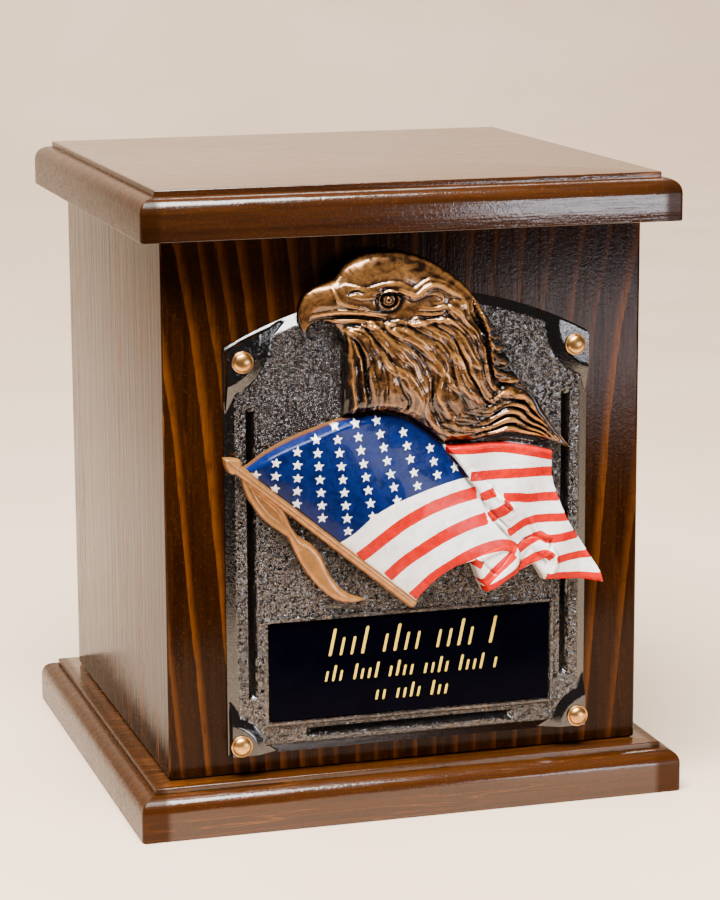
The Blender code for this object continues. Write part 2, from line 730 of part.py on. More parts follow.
def eagle_height(points, outline):
    """Height of the eagle above its flat back, in drawing units."""
    x, y = points[:, 0], points[:, 1]
    edge = distance_to_path(points, outline, closed=True)
    depth = np.full(len(points), EAGLE_DEPTH)
    depth -= 3.2 * step_up(-x, 27, 44)
    depth -= 4.6 * step_up(x + 0.35 * (160 - y), 22, 46)
    depth -= 1.6 * step_up(150 - y, 0, 20)
    radius = EAGLE_ROUND - 6.0 * step_up(-x, 26, 34) * step_up(y, 164, 168)
    height = EAGLE_WALL + (depth - EAGLE_WALL - 2.0) * rounded_edge(edge, radius)
    fade = step_up(edge, 0, 4)
    locks = np.zeros(len(points))
    for guides, across in ((NECK_GUIDES, NECK_LOCKS), (SHOULDER_GUIDES, SHOULDER_LOCKS)):
        for path, width in locks_between(guides, across):
            locks = np.maximum(locks, ridge(points, path, width))
    root = np.array([27.0, 172.0])
    for i, tip in enumerate(back_feather_tips()[::2]):
        start = root + (0.9 * i, -6.2 * i)
        middle = (start + tip) / 2 + (-0.8, -1.2)
        locks = np.maximum(locks, ridge(points, smooth_curve([start, middle, tip], 4), 3.6))
    height += LOCK_RISE * locks * fade
    # Cheek and lower jaw stand proud of the neck
    jaw = smooth_curve([(-30, 171), (-16, 170.5), (0, 171.5), (12, 171.5), (19, 167)], 3)
    height += 0.7 * ridge(points, jaw, 5.0) * fade
    brow = smooth_curve([(-28, 184), (-20, 182.5), (-13, 184), (-7, 184), (-1, 181.5),
                         (6, 185), (14, 181.5), (22, 175)], 3)
    height += 1.3 * ridge(points, brow, 4.6) * fade
    mouth = smooth_curve([(-41, 172.6), (-34, 173.6), (-24, 174), (-13, 172.6)], 3)
    height -= 0.8 * ridge(points, mouth, 2.8) * fade
    cere = smooth_curve([(-33.5, 185), (-31, 180), (-25, 177)], 3)
    height += 0.5 * ridge(points, cere, 3.2) * fade
    # The eye: a ball in a shallow socket
    away = np.hypot(x - EYE[0], y - EYE[1])
    height -= 1.2 * (1 - step_up(away, EYE_RADIUS, 2 * EYE_RADIUS))
    height += 1.5 * rounded_edge(np.clip(EYE_RADIUS - away, 0, None), EYE_RADIUS)
    return np.clip(height, EAGLE_WALL * 0.8, EAGLE_DEPTH + 0.6)


def staff_axes():
    """The staff's own directions: along it from top to foot, and square to it."""
    along = np.subtract(STAFF_FOOT, STAFF_TOP)
    along /= np.hypot(*along)
    return along, np.array([-along[1], along[0]])


def flag_height(points, outline):
    """Height of the flag above its flat back: one long swell, a folded edge, then pleats."""
    edge = distance_to_path(points, outline, closed=True)
    _, square = staff_axes()
    across = (points - np.array(STAFF_TOP)) @ square
    swell = FLAG_WALL + 1.4 + (FLAG_CREST - FLAG_WALL - 1.4) * np.sin(
        np.pi * np.clip(across / 54, 0, 1) ** 0.85) ** 0.8
    fold = smooth_curve([(12, 121.5), (22, 107), (27.5, 101), (33, 94), (38, 84), (43, 77)], 3)
    fly_side = np.interp(points[:, 1], fold[::-1, 1], fold[::-1, 0])
    past = step_up(points[:, 0] - fly_side, -0.8, 0.8)
    waves = FLAG_FLY + 1.0 * np.sin((points[:, 0] - 0.35 * points[:, 1]) * 2 * np.pi / 26)
    height = swell * (1 - past) + waves * past
    for path, width in ((((24, 108), (31, 99), (39, 92)), 6.0),
                        (((30, 62), (38, 70), (45, 78)), 6.0),
                        (((55, 65), (57, 72), (50, 80)), 5.5)):
        height += 1.3 * ridge(points, smooth_curve(path, 3), width) * step_up(edge, 0, 3)
    return FLAG_WALL + (height - FLAG_WALL) * rounded_edge(edge, FLAG_ROUND)


def ribbon_outline():
    """A leaf-shaped loop beside the staff, a narrow twist, and a tail that ends in a point."""
    leaf = smooth_curve([(-69.5, 114), (-67.5, 107), (-64.8, 101.5), (-60, 95), (-54, 90.2),
                         (-50.5, 87.6)], 2)
    under = smooth_curve([(-50.5, 87.6), (-47, 80), (-43.5, 73.5), (-38, 66.5), (-32, 61.5),
                          (-25, 59.6), (-19, 60.6)], 2)
    over = smooth_curve([(-19, 60.6), (-26, 63.2), (-31, 67.5), (-34.5, 73), (-37, 79),
                         (-41, 84.3), (-46.5, 88)], 2)
    inner = smooth_curve([(-46.5, 88), (-49, 91.5), (-50.6, 95.5), (-53, 100.2),
                          (-60, 106.6), (-68.5, 113.8)], 2)
    return joined(leaf, under, over, inner)


def ribbon_height(points, outline):
    edge = distance_to_path(points, outline, closed=True)
    spine = smooth_curve([(-66, 108), (-58, 99), (-50, 89.5), (-42, 78), (-33, 67), (-22, 61)], 3)
    height = RIBBON_THICKNESS * (0.7 + 0.3 * rounded_edge(edge, 3.5))
    return height + 0.5 * ridge(points, spine, 5.0)


def finial_outline():
    """A spade-shaped head on the staff's end: a point and two round lobes."""
    along, square = staff_axes()
    top = np.array(STAFF_TOP)
    shape = ((-1.0, 0.0), (-0.62, 0.3), (-0.24, 0.52), (0.0, 0.42), (0.06, 0.2),
             (0.06, -0.2), (0.0, -0.42), (-0.24, -0.5), (-0.62, -0.34))
    return np.array([top + along * FINIAL_LENGTH * a + square * FINIAL_WIDTH * b
                     for a, b in shape])


def finial_height(points, outline):
    along, square = staff_axes()
    away = np.abs((points - np.array(STAFF_TOP)) @ square)
    return STAFF_OUT + STAFF_RADIUS * (1 - 0.5 * np.clip(away / (FINIAL_WIDTH / 2), 0, 1))


def divided(outline, longest):
    """The same outline with its long runs divided evenly."""
    points = []
    for a, b in zip(outline, np.roll(outline, -1, axis=0)):
        parts = max(1, math.ceil(math.dist(a, b) / longest))
        points += [a + (b - a) * i / parts for i in range(parts)]
    return np.array(points)


def inner_ring(outline, inset):
    """Points that follow the outline at a set distance inside it, left out in tight corners."""
    run = np.roll(outline, -1, axis=0) - np.roll(outline, 1, axis=0)
    square = np.stack([-run[:, 1], run[:, 0]], axis=1) / np.hypot(*run.T)[:, None]
    area = np.sum(outline[:, 0] * np.roll(outline[:, 1], -1)
                  - outline[:, 1] * np.roll(outline[:, 0], -1))
    ring = outline + square * inset * np.sign(area)
    away = distance_to_path(ring, outline, closed=True)
    return ring[away > 0.85 * inset]


def relief_solid(name, outline, height_of, spacing, back, collection, material=None,
                 flow=None):
    """A closed solid: a flat back, an upright edge, and a front that follows height_of.

    The front is a triangulation of the outline, of a ring just inside it, of any points
    along the carving's flow, and of a staggered lattice in what is left.
    """
    outline = divided(outline, RIM_RUN * spacing)
    low, high = outline.min(axis=0), outline.max(axis=0)
    lattice = []
    for k, row in enumerate(np.arange(low[1], high[1], spacing * math.sqrt(3) / 2)):
        along = np.arange(low[0] + spacing / 2 * (k % 2), high[0], spacing)
        lattice.append(np.stack([along, np.full(len(along), row)], axis=1))
    lattice = np.vstack(lattice)
    clear = RING_INSET + 0.55 * spacing
    if flow is not None:
        near = np.hypot(*(lattice[:, None] - flow[None]).transpose(2, 0, 1)).min(axis=1)
        lattice = np.vstack([lattice[near > 0.8 * spacing], flow])
    lattice = lattice[distance_to_path(lattice, outline, closed=True) > clear]
    lattice = np.vstack([lattice, inner_ring(outline, RING_INSET)])
    lattice = lattice[inside(lattice, outline)]
    flat = np.vstack([outline, lattice])
    count = len(outline)
    rim = [(i, (i + 1) % count) for i in range(count)]
    front = delaunay_2d_cdt([Vector(p) for p in flat], rim, [], 1, 1e-6)
    rear = delaunay_2d_cdt([Vector(p) for p in outline], rim, [], 1, 1e-6)
    heights = height_of(np.array([tuple(v) for v in front[0]]), outline)
    bm = bmesh.new()
    top = [bm.verts.new((v[0] * UNIT, v[1] * UNIT, back + h * UNIT))
           for v, h in zip(front[0], heights)]
    bottom = [bm.verts.new((v[0] * UNIT, v[1] * UNIT, back)) for v in rear[0]]
    for face in front[2]:
        bm.faces.new([top[i] for i in face])
    for face in rear[2]:
        bm.faces.new([bottom[i] for i in reversed(face)])
    for i, j in rim:
        bm.faces.new((bottom[i], bottom[j], top[j], top[i]))
    obj = object_from(bm, name, collection, material)
    obj.data.shade_smooth()
    obj.data.set_sharp_from_angle(angle=math.radians(50))
    return obj


def staff_solid(name, cutters):
    """The round staff, a curve with a bevel made into a mesh so that it can be joined."""
    curve = bpy.data.curves.new(name, "CURVE")
    curve.dimensions = "3D"
    curve.bevel_depth = STAFF_RADIUS * UNIT
    curve.bevel_resolution = 2
    curve.use_fill_caps = True
    spline = curve.splines.new("POLY")
    spline.points.add(1)
    level = RELIEF_BACK + STAFF_OUT * UNIT
    along, _ = staff_axes()
    ends = (np.array(STAFF_TOP) - along * 0.4, np.array(STAFF_FOOT))
    for point, (x, y) in zip(spline.points, ends):
        point.co = (x * UNIT, y * UNIT, level, 1.0)
    shaped = bpy.data.objects.new(name + "_curve", curve)
    cutters.objects.link(shaped)
    bpy.context.view_layer.update()
    evaluated = shaped.evaluated_get(bpy.context.evaluated_depsgraph_get())
    mesh = bpy.data.meshes.new_from_object(evaluated)
    bpy.data.objects.remove(shaped, do_unlink=True)
    bm = bmesh.new()
    bm.from_mesh(mesh)
    bmesh.ops.remove_doubles(bm, verts=bm.verts, dist=1e-6)
    return object_from(bm, name, cutters)


def make_eagle(parts, sheet):
    flow = np.vstack([flow_lattice(NECK_GUIDES, NECK_LOCKS, 1.5 * EAGLE_MESH),
                      flow_lattice(SHOULDER_GUIDES, SHOULDER_LOCKS, 1.5 * EAGLE_MESH)])
    eagle = relief_solid("eagle", eagle_outline(), eagle_height, EAGLE_MESH,
                         RELIEF_BACK, parts, "antique_bronze", flow)
    eagle.parent = sheet


def make_flag(parts, cutters, sheet):
    """The flag, its staff, finial and ribbon: one casting."""
    flag = relief_solid("flag", flag_outline(), flag_height, FLAG_MESH,
                        RELIEF_BACK, parts, "enamelled_flag")
    flag.parent = sheet
    # Each joined form has its own back, a hair further out, so that no two lie in one plane
    ribbon = relief_solid("ribbon", ribbon_outline(), ribbon_height, RIBBON_MESH,
                          RELIEF_BACK + 0.1 * UNIT, cutters)
    finial = relief_solid("finial", finial_outline(), finial_height, STAFF_RADIUS,
                          RELIEF_BACK + 0.2 * UNIT, cutters)
    staff = staff_solid("staff", cutters)
    for form in (ribbon, finial, staff):
        form.parent = sheet
        combine(flag, form, "UNION")


def main():
    clear_scene()
    parts = new_collection("cremation_urn_box")
    cutters = new_collection("cutters")
    make_base(parts)
    front = make_walls(parts)
    make_lid(parts)
    sheet = front_sheet("plaque_sheet", PLAQUE_FOOT)
    panel = make_panel(parts, cutters, sheet)
    make_tacks(front, panel, parts, cutters, sheet)
    make_nameplate(parts, cutters, sheet)
    relief_sheet = front_sheet("relief_sheet", RELIEF_FOOT - DRAWING_FOOT * UNIT)
    make_eagle(parts, relief_sheet)
    make_flag(parts, cutters, relief_sheet)


main()
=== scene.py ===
"""Cremation urn box with a cast eagle-and-flag plaque: its finished surfaces, stage and camera.

Everything is in metres, +Z up, the front towards -Y. The plaque's reliefs are drawn in
drawing units, about a millimetre each: x across, y up from the panel's foot, and a height
out from the wood.
"""

import math

import bpy
import numpy as np
from bpy.props import FloatProperty, FloatVectorProperty, PointerProperty
from mathutils import Matrix, Vector


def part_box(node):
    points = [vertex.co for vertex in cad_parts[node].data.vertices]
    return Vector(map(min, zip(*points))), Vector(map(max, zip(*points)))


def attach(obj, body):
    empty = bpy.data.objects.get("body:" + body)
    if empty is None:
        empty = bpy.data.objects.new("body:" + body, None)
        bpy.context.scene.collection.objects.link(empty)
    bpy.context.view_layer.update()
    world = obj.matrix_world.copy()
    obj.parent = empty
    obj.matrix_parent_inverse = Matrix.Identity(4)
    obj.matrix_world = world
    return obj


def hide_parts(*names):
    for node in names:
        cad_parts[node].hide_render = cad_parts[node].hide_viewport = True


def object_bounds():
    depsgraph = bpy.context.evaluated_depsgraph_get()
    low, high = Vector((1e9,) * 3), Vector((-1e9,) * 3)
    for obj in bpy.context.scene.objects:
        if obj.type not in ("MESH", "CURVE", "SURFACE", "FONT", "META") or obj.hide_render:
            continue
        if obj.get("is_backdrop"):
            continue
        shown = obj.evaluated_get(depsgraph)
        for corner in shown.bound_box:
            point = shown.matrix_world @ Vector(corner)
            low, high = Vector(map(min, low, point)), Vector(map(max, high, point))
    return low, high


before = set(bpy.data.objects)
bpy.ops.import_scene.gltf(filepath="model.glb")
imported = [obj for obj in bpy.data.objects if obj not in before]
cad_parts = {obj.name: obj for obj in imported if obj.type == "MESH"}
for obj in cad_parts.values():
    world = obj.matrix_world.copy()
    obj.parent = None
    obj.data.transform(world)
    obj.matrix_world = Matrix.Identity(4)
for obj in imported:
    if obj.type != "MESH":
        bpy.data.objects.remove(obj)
CAD_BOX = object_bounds()

bl_info = {
    "name": "Urn box with eagle and flag plaque",
    "version": (1, 0, 0),
    "blender": (4, 5, 0),
    "location": "3D View > Sidebar > Urn Box",
    "description": "Builds a walnut-stained urn box with a cast eagle and flag on its front",
    "category": "Add Mesh",
}

# The box, read from the parts in model.glb
LID_LOW, LID_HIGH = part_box("lid_board")
BASE_LOW, BASE_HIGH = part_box("base_board")
FRONT_LOW, FRONT_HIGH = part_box("front_board")
SIDE_LOW, SIDE_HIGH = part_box("left_board")
PANEL_LOW, PANEL_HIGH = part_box("plaque_panel")
PLATE_LOW, PLATE_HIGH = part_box("nameplate")
BODY_WIDTH = -2 * SIDE_LOW.x
BODY_DEPTH = -2 * FRONT_LOW.y
WALL = 0.019
BODY_CORNER = 0.0016
BODY_ARRIS = 0.0009
BASE_THICKNESS = BASE_HIGH.z
LID_THICKNESS = 0.019
LOCATING_STEP = 0.006
LOCATING_CLEARANCE = 0.001

# Router profile along the lid and base boards
EDGE_ROUND = 0.0062
EDGE_LEDGE = 0.0006
EDGE_STEP = 0.0023
BOARD_CORNER = 0.0018
LEAST_CORNER = 0.0003
ARRIS_LOW = 0.0006
ARRIS_TOP = 0.0005

# Drawing sheet of the plaque
DRAWING_WIDTH = 148.5
UNIT = (PANEL_HIGH.x - PANEL_LOW.x) / DRAWING_WIDTH
FRONT_FACE = FRONT_LOW.y
PANEL_FOOT = PANEL_LOW.z

# Cast panel, in drawing units
PANEL_BACK = 0.3
PANEL_SHOULDER = 162.0
ARCH_RISE = 19.3
PANEL_EDGE = 1.7
PANEL_FIELD = 4.5
RIM_WIDTH = 4.2
PAD_RISE = 1.8
PAD_EDGE_INSET = 0.8
# Each corner pad: centre x for the right side, centre y, radius of its top, width of its slope
PADS = ((78.95, 166.0, 18.5, 5.0), (75.45, 1.0, 12.5, 3.8))
SLOT_HALF = 2.0
SLOT_DEPTH = 2.1
SIDE_SLOT = (64.45, 22.8, 139.1)
LOW_SLOT = (7.8, 43.25)
NAME_HALF = (57.75, 19.5)
NAME_UP = 33.0
RECESS_CLEARANCE = 0.4
RECESS_DEPTH = 1.5
FRAME_WIDTH = 2.6
FRAME_RISE = 0.9
BENT_ROWS_FROM = 150.0
PANEL_HALF = DRAWING_WIDTH / 2
PANEL_PEAK = PANEL_SHOULDER + ARCH_RISE
ARCH_RADIUS = (PANEL_HALF**2 + ARCH_RISE**2) / (2 * ARCH_RISE)
# Grid lines this close on either side of an upright step keep its wall steep
CRACK = 0.02

# Inscription strokes: each row's half length, foot above the plate's middle, height, pitch
STROKE_ROWS = ((35.5, 5.0, 11.0, 4.2), (36.5, -5.3, 6.4, 2.9), (15.8, -14.4, 6.0, 2.7))
STROKE_WIDTH = 0.8
STROKE_SLANT = 0.22

# Tacks, in drawing units
TACK_RADIUS = 3.7
TACK_DOME = 2.1
TACK_RING = 0.5
TACK_FLANGE = 4.3
TACK_SHANK = 1.0
TACK_LENGTH = 14.0
TACK_SEAT = PANEL_FIELD + PAD_RISE + 0.3
TACKS = {
    "tack_top_left": (-67.65, 157.3),
    "tack_top_right": (67.65, 157.3),
    "tack_bottom_left": (-69.95, 5.0),
    "tack_bottom_right": (69.95, 5.0),
}

# Reliefs, in drawing units
RELIEF_BACK = PANEL_FIELD + 0.3
# Points of an outline nearer to each other than this are joined
OUTLINE_STEP = 0.25
# Grid next to a relief's outline: how many cells are evened out, and how many times
EVENED_CELLS = 3
EVENED_TIMES = 6
# Half the window over which the mean of the ground round a point is taken
GROUND_REACH = 1.6
EAGLE_DEPTH = 11.0
EAGLE_WALL = 2.2
EAGLE_ROUND = 13.0
BACK_TIPS = ((34.5, 165.5), (38.5, 158.0), (45.0, 144.5))
BACK_TIP_COUNT = 5
BACK_NOTCH = (-1.5, -1.5)
NECK_LOCKS = 7
SHOULDER_LOCKS = 5
LOCK_FILL = 1.04
LOCK_RISE = 3.4
# How far the dome drops under the feathers, and rises again under the smooth crown and beak
FEATHER_DROP = 4.6
CROWN_RISE = 2.2
# How far the clouds shift the locks and the strands, and the last stretch up to full depth
LOCK_WAVE = 5.0
STRAND_WAVE = 0.9
EASED_TOP = 2.4
EYE = (-11.0, 179.5)
EYE_FLAT = 1.08
FLAG_WALL = 2.2
FLAG_ROUND = 1.6
FLAG_CREST = 8.6
FLAG_FLY = 5.6
FLAG_SWELL_WIDTH = 54
FLAG_WAVE = 26
# The flag's grid is wider than the eagle's, so that it stays under 200,000 triangles
FLAG_GRID = 1.1
# Depth given to points that lie far outside every band or star
OUTSIDE = -4.0
STAFF_TOP = (-70.5, 116.2)
STAFF_FOOT = (0.6, 57.3)
STAFF_RADIUS = 2.1
STAFF_OUT = 3.1
FINIAL_LENGTH = 7.0
FINIAL_WIDTH = 6.6
RIBBON_THICKNESS = 3.4

# Amber streaks of the front board: place of the sharp edge at its foot, width and strength
FRONT_STREAKS = (
    (-0.0930, 0.0030, 0.7), (-0.0827, 0.0036, 1.0), (-0.0715, 0.0040, 1.0),
    (-0.0646, 0.0034, 0.9), (-0.0586, 0.0034, 0.9), (-0.0522, 0.0036, 1.0),
    (-0.0450, 0.0040, 0.9), (-0.0375, 0.0036, 0.8), (-0.0300, 0.0030, 0.6),
    (-0.0220, 0.0030, 0.7), (-0.0140, 0.0026, 0.6), (-0.0060, 0.0030, 0.6),
    (0.0040, 0.0030, 0.7), (0.0120, 0.0026, 0.5), (0.0210, 0.0034, 0.6), (0.0290, 0.0026, 0.5),
    (0.0380, 0.0034, 0.6), (0.0470, 0.0028, 0.5), (0.0570, 0.0030, 0.6), (0.0660, 0.0026, 0.5),
    (0.0755, 0.0042, 0.9), (0.0875, 0.0040, 0.6),
)

# How a streak leans out as it rises: its foot's height, lean, height of the bend, and bend
STREAK_FOOT = 0.02
STREAK_LEAN = 1.05
STREAK_BEND_FROM = 0.15
STREAK_BEND = 12

# Wood finish: how far the grain is drawn out, and between which places it changes, in metres
GRAIN_DRAWN = 0.045
BOARD_END = (0.0995, 0.1030)
# Painted shade in the walls' sheen: from the upper height down to the lower one their lacquer
# mirrors less and less towards their foot
WALL_SHEEN_SHADE = (0.03, 0.17)
WARM_FOOT = (0.004, 0.030)
# Heights between which the panel's bronze rub fades
RUBBED_PANEL = (0.045, 0.13)

# Camera: where it stands, in metres, and how it is turned, in degrees
CAMERA_PLACE = (-0.33994, -1.17023, 0.37627)
CAMERA_YAW = 16.554
CAMERA_PITCH = 11.512
CAMERA_ROLL = -0.305
CAMERA_LENS = 117.745
CAMERA_SENSOR = 36.0

# Soft lights: place, aim, width and height in metres, power in watts, and colour
SOFT_LIGHTS = {
    "overhead_soft_box": ((-0.25, -0.42, 1.25), (0.0, -0.05, 0.13), 0.95, 0.8, 122.0,
                          (1.0, 0.98, 0.95)),
    "right_card": ((0.75, -1.08, 0.11), (0.5, -0.1, 0.11), 0.66, 0.22, 6.5, (0.93, 0.93, 1.0)),
    "backdrop_light": ((0.3, 1.5, 2.2), (0.2, 3.0, 0.5), 2.6, 1.4, 125.0, (1.0, 0.97, 0.92)),
}
ROOM_COLOUR = (0.80, 0.80, 0.85, 1)
ROOM_LIGHT = 0.12

# Floor and backdrop, in metres: front edge, start of the bend, its radius, top and half width
SWEEP_FRONT = -0.28
SWEEP_BEND = 2.2
SWEEP_RADIUS = 0.8
SWEEP_TOP = 3.0
SWEEP_HALF = 3.5


class UrnBoxSizes(bpy.types.PropertyGroup):
    """Sizes that set how fine the carving and the casting are."""

    relief_grid: FloatProperty(
        name="Relief grid", description="Spacing of the points over the eagle and the flag",
        default=0.00036, min=0.0002, max=0.002, unit="LENGTH")
    panel_grid: FloatProperty(
        name="Panel grid", description="Spacing of the points over the cast panel",
        default=0.00062, min=0.0004, max=0.004, unit="LENGTH")
    strand_rise: FloatProperty(
        name="Strand rise", description="Height of the fine feather strands over their locks",
        default=0.00075, min=0.0, max=0.002, unit="LENGTH")
    grain_rise: FloatProperty(
        name="Cast grain", description="Height of the worm-like grain cast into the panel",
        default=0.00028, min=0.0, max=0.001, unit="LENGTH")
    stroke_proud: FloatProperty(
        name="Stroke height", description="How far the gold strokes stand out of the plate",
        default=0.00008, min=0.0, max=0.0005, unit="LENGTH")


class UrnBoxColours(bpy.types.PropertyGroup):
    """Colours of the stain, castings and enamel."""

    walnut_dark: FloatVectorProperty(
        name="Walnut, dark grain", description="Stain in the dark grain of the boards",
        default=(0.0105, 0.0028, 0.0003), size=3, min=0, max=1, subtype="COLOR")
    walnut_mid: FloatVectorProperty(
        name="Walnut", description="Stain over most of the boards",
        default=(0.0190, 0.0054, 0.0008), size=3, min=0, max=1, subtype="COLOR")
    walnut_amber: FloatVectorProperty(
        name="Walnut, amber streaks", description="Pale streaks that show through the stain",
        default=(0.105, 0.030, 0.0038), size=3, min=0, max=1, subtype="COLOR")
    bronze_high: FloatVectorProperty(
        name="Bronze, rubbed", description="Antique bronze on the crests of the feathers",
        default=(0.36, 0.155, 0.038), size=3, min=0, max=1, subtype="COLOR")
    bronze_low: FloatVectorProperty(
        name="Bronze, dark wash", description="Dark wash in the grooves of the feathers",
        default=(0.028, 0.0092, 0.0020), size=3, min=0, max=1, subtype="COLOR")
    pewter: FloatVectorProperty(
        name="Pewter", description="Cast panel's field",
        default=(0.022, 0.0145, 0.012), size=3, min=0, max=1, subtype="COLOR")
    pewter_rub: FloatVectorProperty(
        name="Pewter, bronze rub", description="Bronze rub on the high grain of the panel",
        default=(0.13, 0.073, 0.038), size=3, min=0, max=1, subtype="COLOR")
    enamel_red: FloatVectorProperty(
        name="Enamel red", description="Red stripes of the flag",
        default=(0.58, 0.0030, 0.0012), size=3, min=0, max=1, subtype="COLOR")
    enamel_white: FloatVectorProperty(
        name="Enamel white", description="White stripes and stars of the flag",
        default=(0.94, 0.92, 0.90), size=3, min=0, max=1, subtype="COLOR")
    enamel_blue: FloatVectorProperty(
        name="Enamel blue", description="Blue canton of the flag",
        default=(0.0014, 0.0060, 0.048), size=3, min=0, max=1, subtype="COLOR")
    staff_gold: FloatVectorProperty(
        name="Staff gold", description="Tan gold of the staff, finial and ribbon",
        default=(0.36, 0.15, 0.036), size=3, min=0, max=1, subtype="COLOR")
    tack_brass: FloatVectorProperty(
        name="Tack brass", description="Brass of the domed tacks",
        default=(0.62, 0.32, 0.10), size=3, min=0, max=1, subtype="COLOR")
    stroke_gold: FloatVectorProperty(
        name="Stroke gold", description="Pale gold of the inscription's strokes",
        default=(0.80, 0.56, 0.06), size=3, min=0, max=1, subtype="COLOR")


class Wire:
    """One shader socket. Sums and products written with it add their Math nodes."""

    def __init__(self, tree, socket=None):
        self.tree = tree
        self.socket = socket

    def node(self, kind, settings=None, sockets=None, output=0):
        """Any node: its type, its settings, then the values or links of its sockets."""
        node = self.tree.nodes.new(kind)
        for name, value in (settings or {}).items():
            setattr(node, name, value)
        for name, value in (sockets or {}).items():
            if isinstance(value, Wire):
                self.tree.links.new(value.socket, node.inputs[name])
            else:
                node.inputs[name].default_value = value
        return None if output is None else Wire(self.tree, node.outputs[output])

    def parts(self, place):
        """The three parts of a vector, each its own wire."""
        split = self.node("ShaderNodeSeparateXYZ", {}, {0: place}).socket.node
        return (Wire(self.tree, split.outputs[k]) for k in "XYZ")

    def carried(self, name):
        """The value of that name that the mesh carries at each point."""
        return self.node("ShaderNodeAttribute", {"attribute_name": name}, output="Fac")

    def maths(self, operation, *others):
        """One Math node, with this wire first and the others after it."""
        return self.node("ShaderNodeMath", {"operation": operation},
                         {i: value for i, value in enumerate((self, *others))})

    def __add__(self, other):
        return self.maths("ADD", other)

    __radd__ = __add__

    def __sub__(self, other):
        return self.maths("SUBTRACT", other)

    def __rsub__(self, other):
        return self * -1 + other

    def __mul__(self, other):
        return self.maths("MULTIPLY", other)

    __rmul__ = __mul__

    def __truediv__(self, other):
        return self.maths("DIVIDE", other)

    def between(self, low, high, start=0.0, stop=1.0):
        """A smooth rise from start at low to stop at high."""
        return self.node("ShaderNodeMapRange", {"interpolation_type": "SMOOTHSTEP"},
                         {0: self, 1: low, 2: high, 3: start, 4: stop})


def paint(colour):
    """A colour with full cover, as a socket takes it."""
    return (*colour, 1.0)


def shade(colour, by):
    """A colour made darker or paler by a factor."""
    return tuple(min(c * by, 1.0) for c in colour) + (1.0,)


def mixed(factor, low, high):
    """Colour low where the factor is nought, high where it is one."""
    return factor.node("ShaderNodeMix", {"data_type": "RGBA"}, {0: factor, 6: low, 7: high}, 2)


def mixed_value(factor, low, high):
    """Value low where the factor is nought, high where it is one."""
    return factor.node("ShaderNodeMix", {"data_type": "FLOAT"}, {0: factor, 2: low, 3: high})


def noise(place, scale, detail=3.0, roughness=0.5, distortion=0.0):
    """Smooth random values from 0 to 1, with that many waves to the metre."""
    return place.node("ShaderNodeTexNoise", {},
                      {"Vector": place, "Scale": scale, "Detail": detail,
                       "Roughness": roughness, "Distortion": distortion})


def stretched(place, scale):
    """Coordinates multiplied by a factor for each axis."""
    return place.node("ShaderNodeMapping", {}, {"Vector": place, "Scale": scale})


def new_finish(name):
    """A new material, a wire into its tree and the object's own coordinates."""
    material = bpy.data.materials.new(name)
    material.use_nodes = True
    tree = material.node_tree
    tree.nodes.clear()
    start = Wire(tree)
    place = start.node("ShaderNodeTexCoord", output="Object")
    return material, start, place


def close_finish(start, plain, linked, bump=None, bump_rise=0.0002, dull=None):
    """The Principled shader: plain values, linked sockets and a bump of that height in metres.

    Where dull is given, it mixes in the same finish under a lacquer that mirrors less: painted
    shade in the sheen towards the walls' foot, and the end grain's own dullness at the boards' ends.
    """
    sockets = dict(plain)
    sockets.update(linked)
    if bump is not None:
        sockets["Normal"] = start.node("ShaderNodeBump", {},
                                       {"Strength": 1.0, "Distance": bump_rise, "Height": bump})
    shader = start.node("ShaderNodeBsdfPrincipled", {}, sockets, "BSDF")
    if dull is not None:
        # The dimmer lacquer: painted shade in the sheen on the walls, the end grain's own dullness
        # on the board ends
        dim_lacquer = start.node("ShaderNodeBsdfPrincipled", {}, {**sockets, "IOR": 1.17}, "BSDF")
        shader = start.node("ShaderNodeMixShader", {}, {0: dull, 1: shader, 2: dim_lacquer})
    start.node("ShaderNodeOutputMaterial", {}, {"Surface": shader}, None)


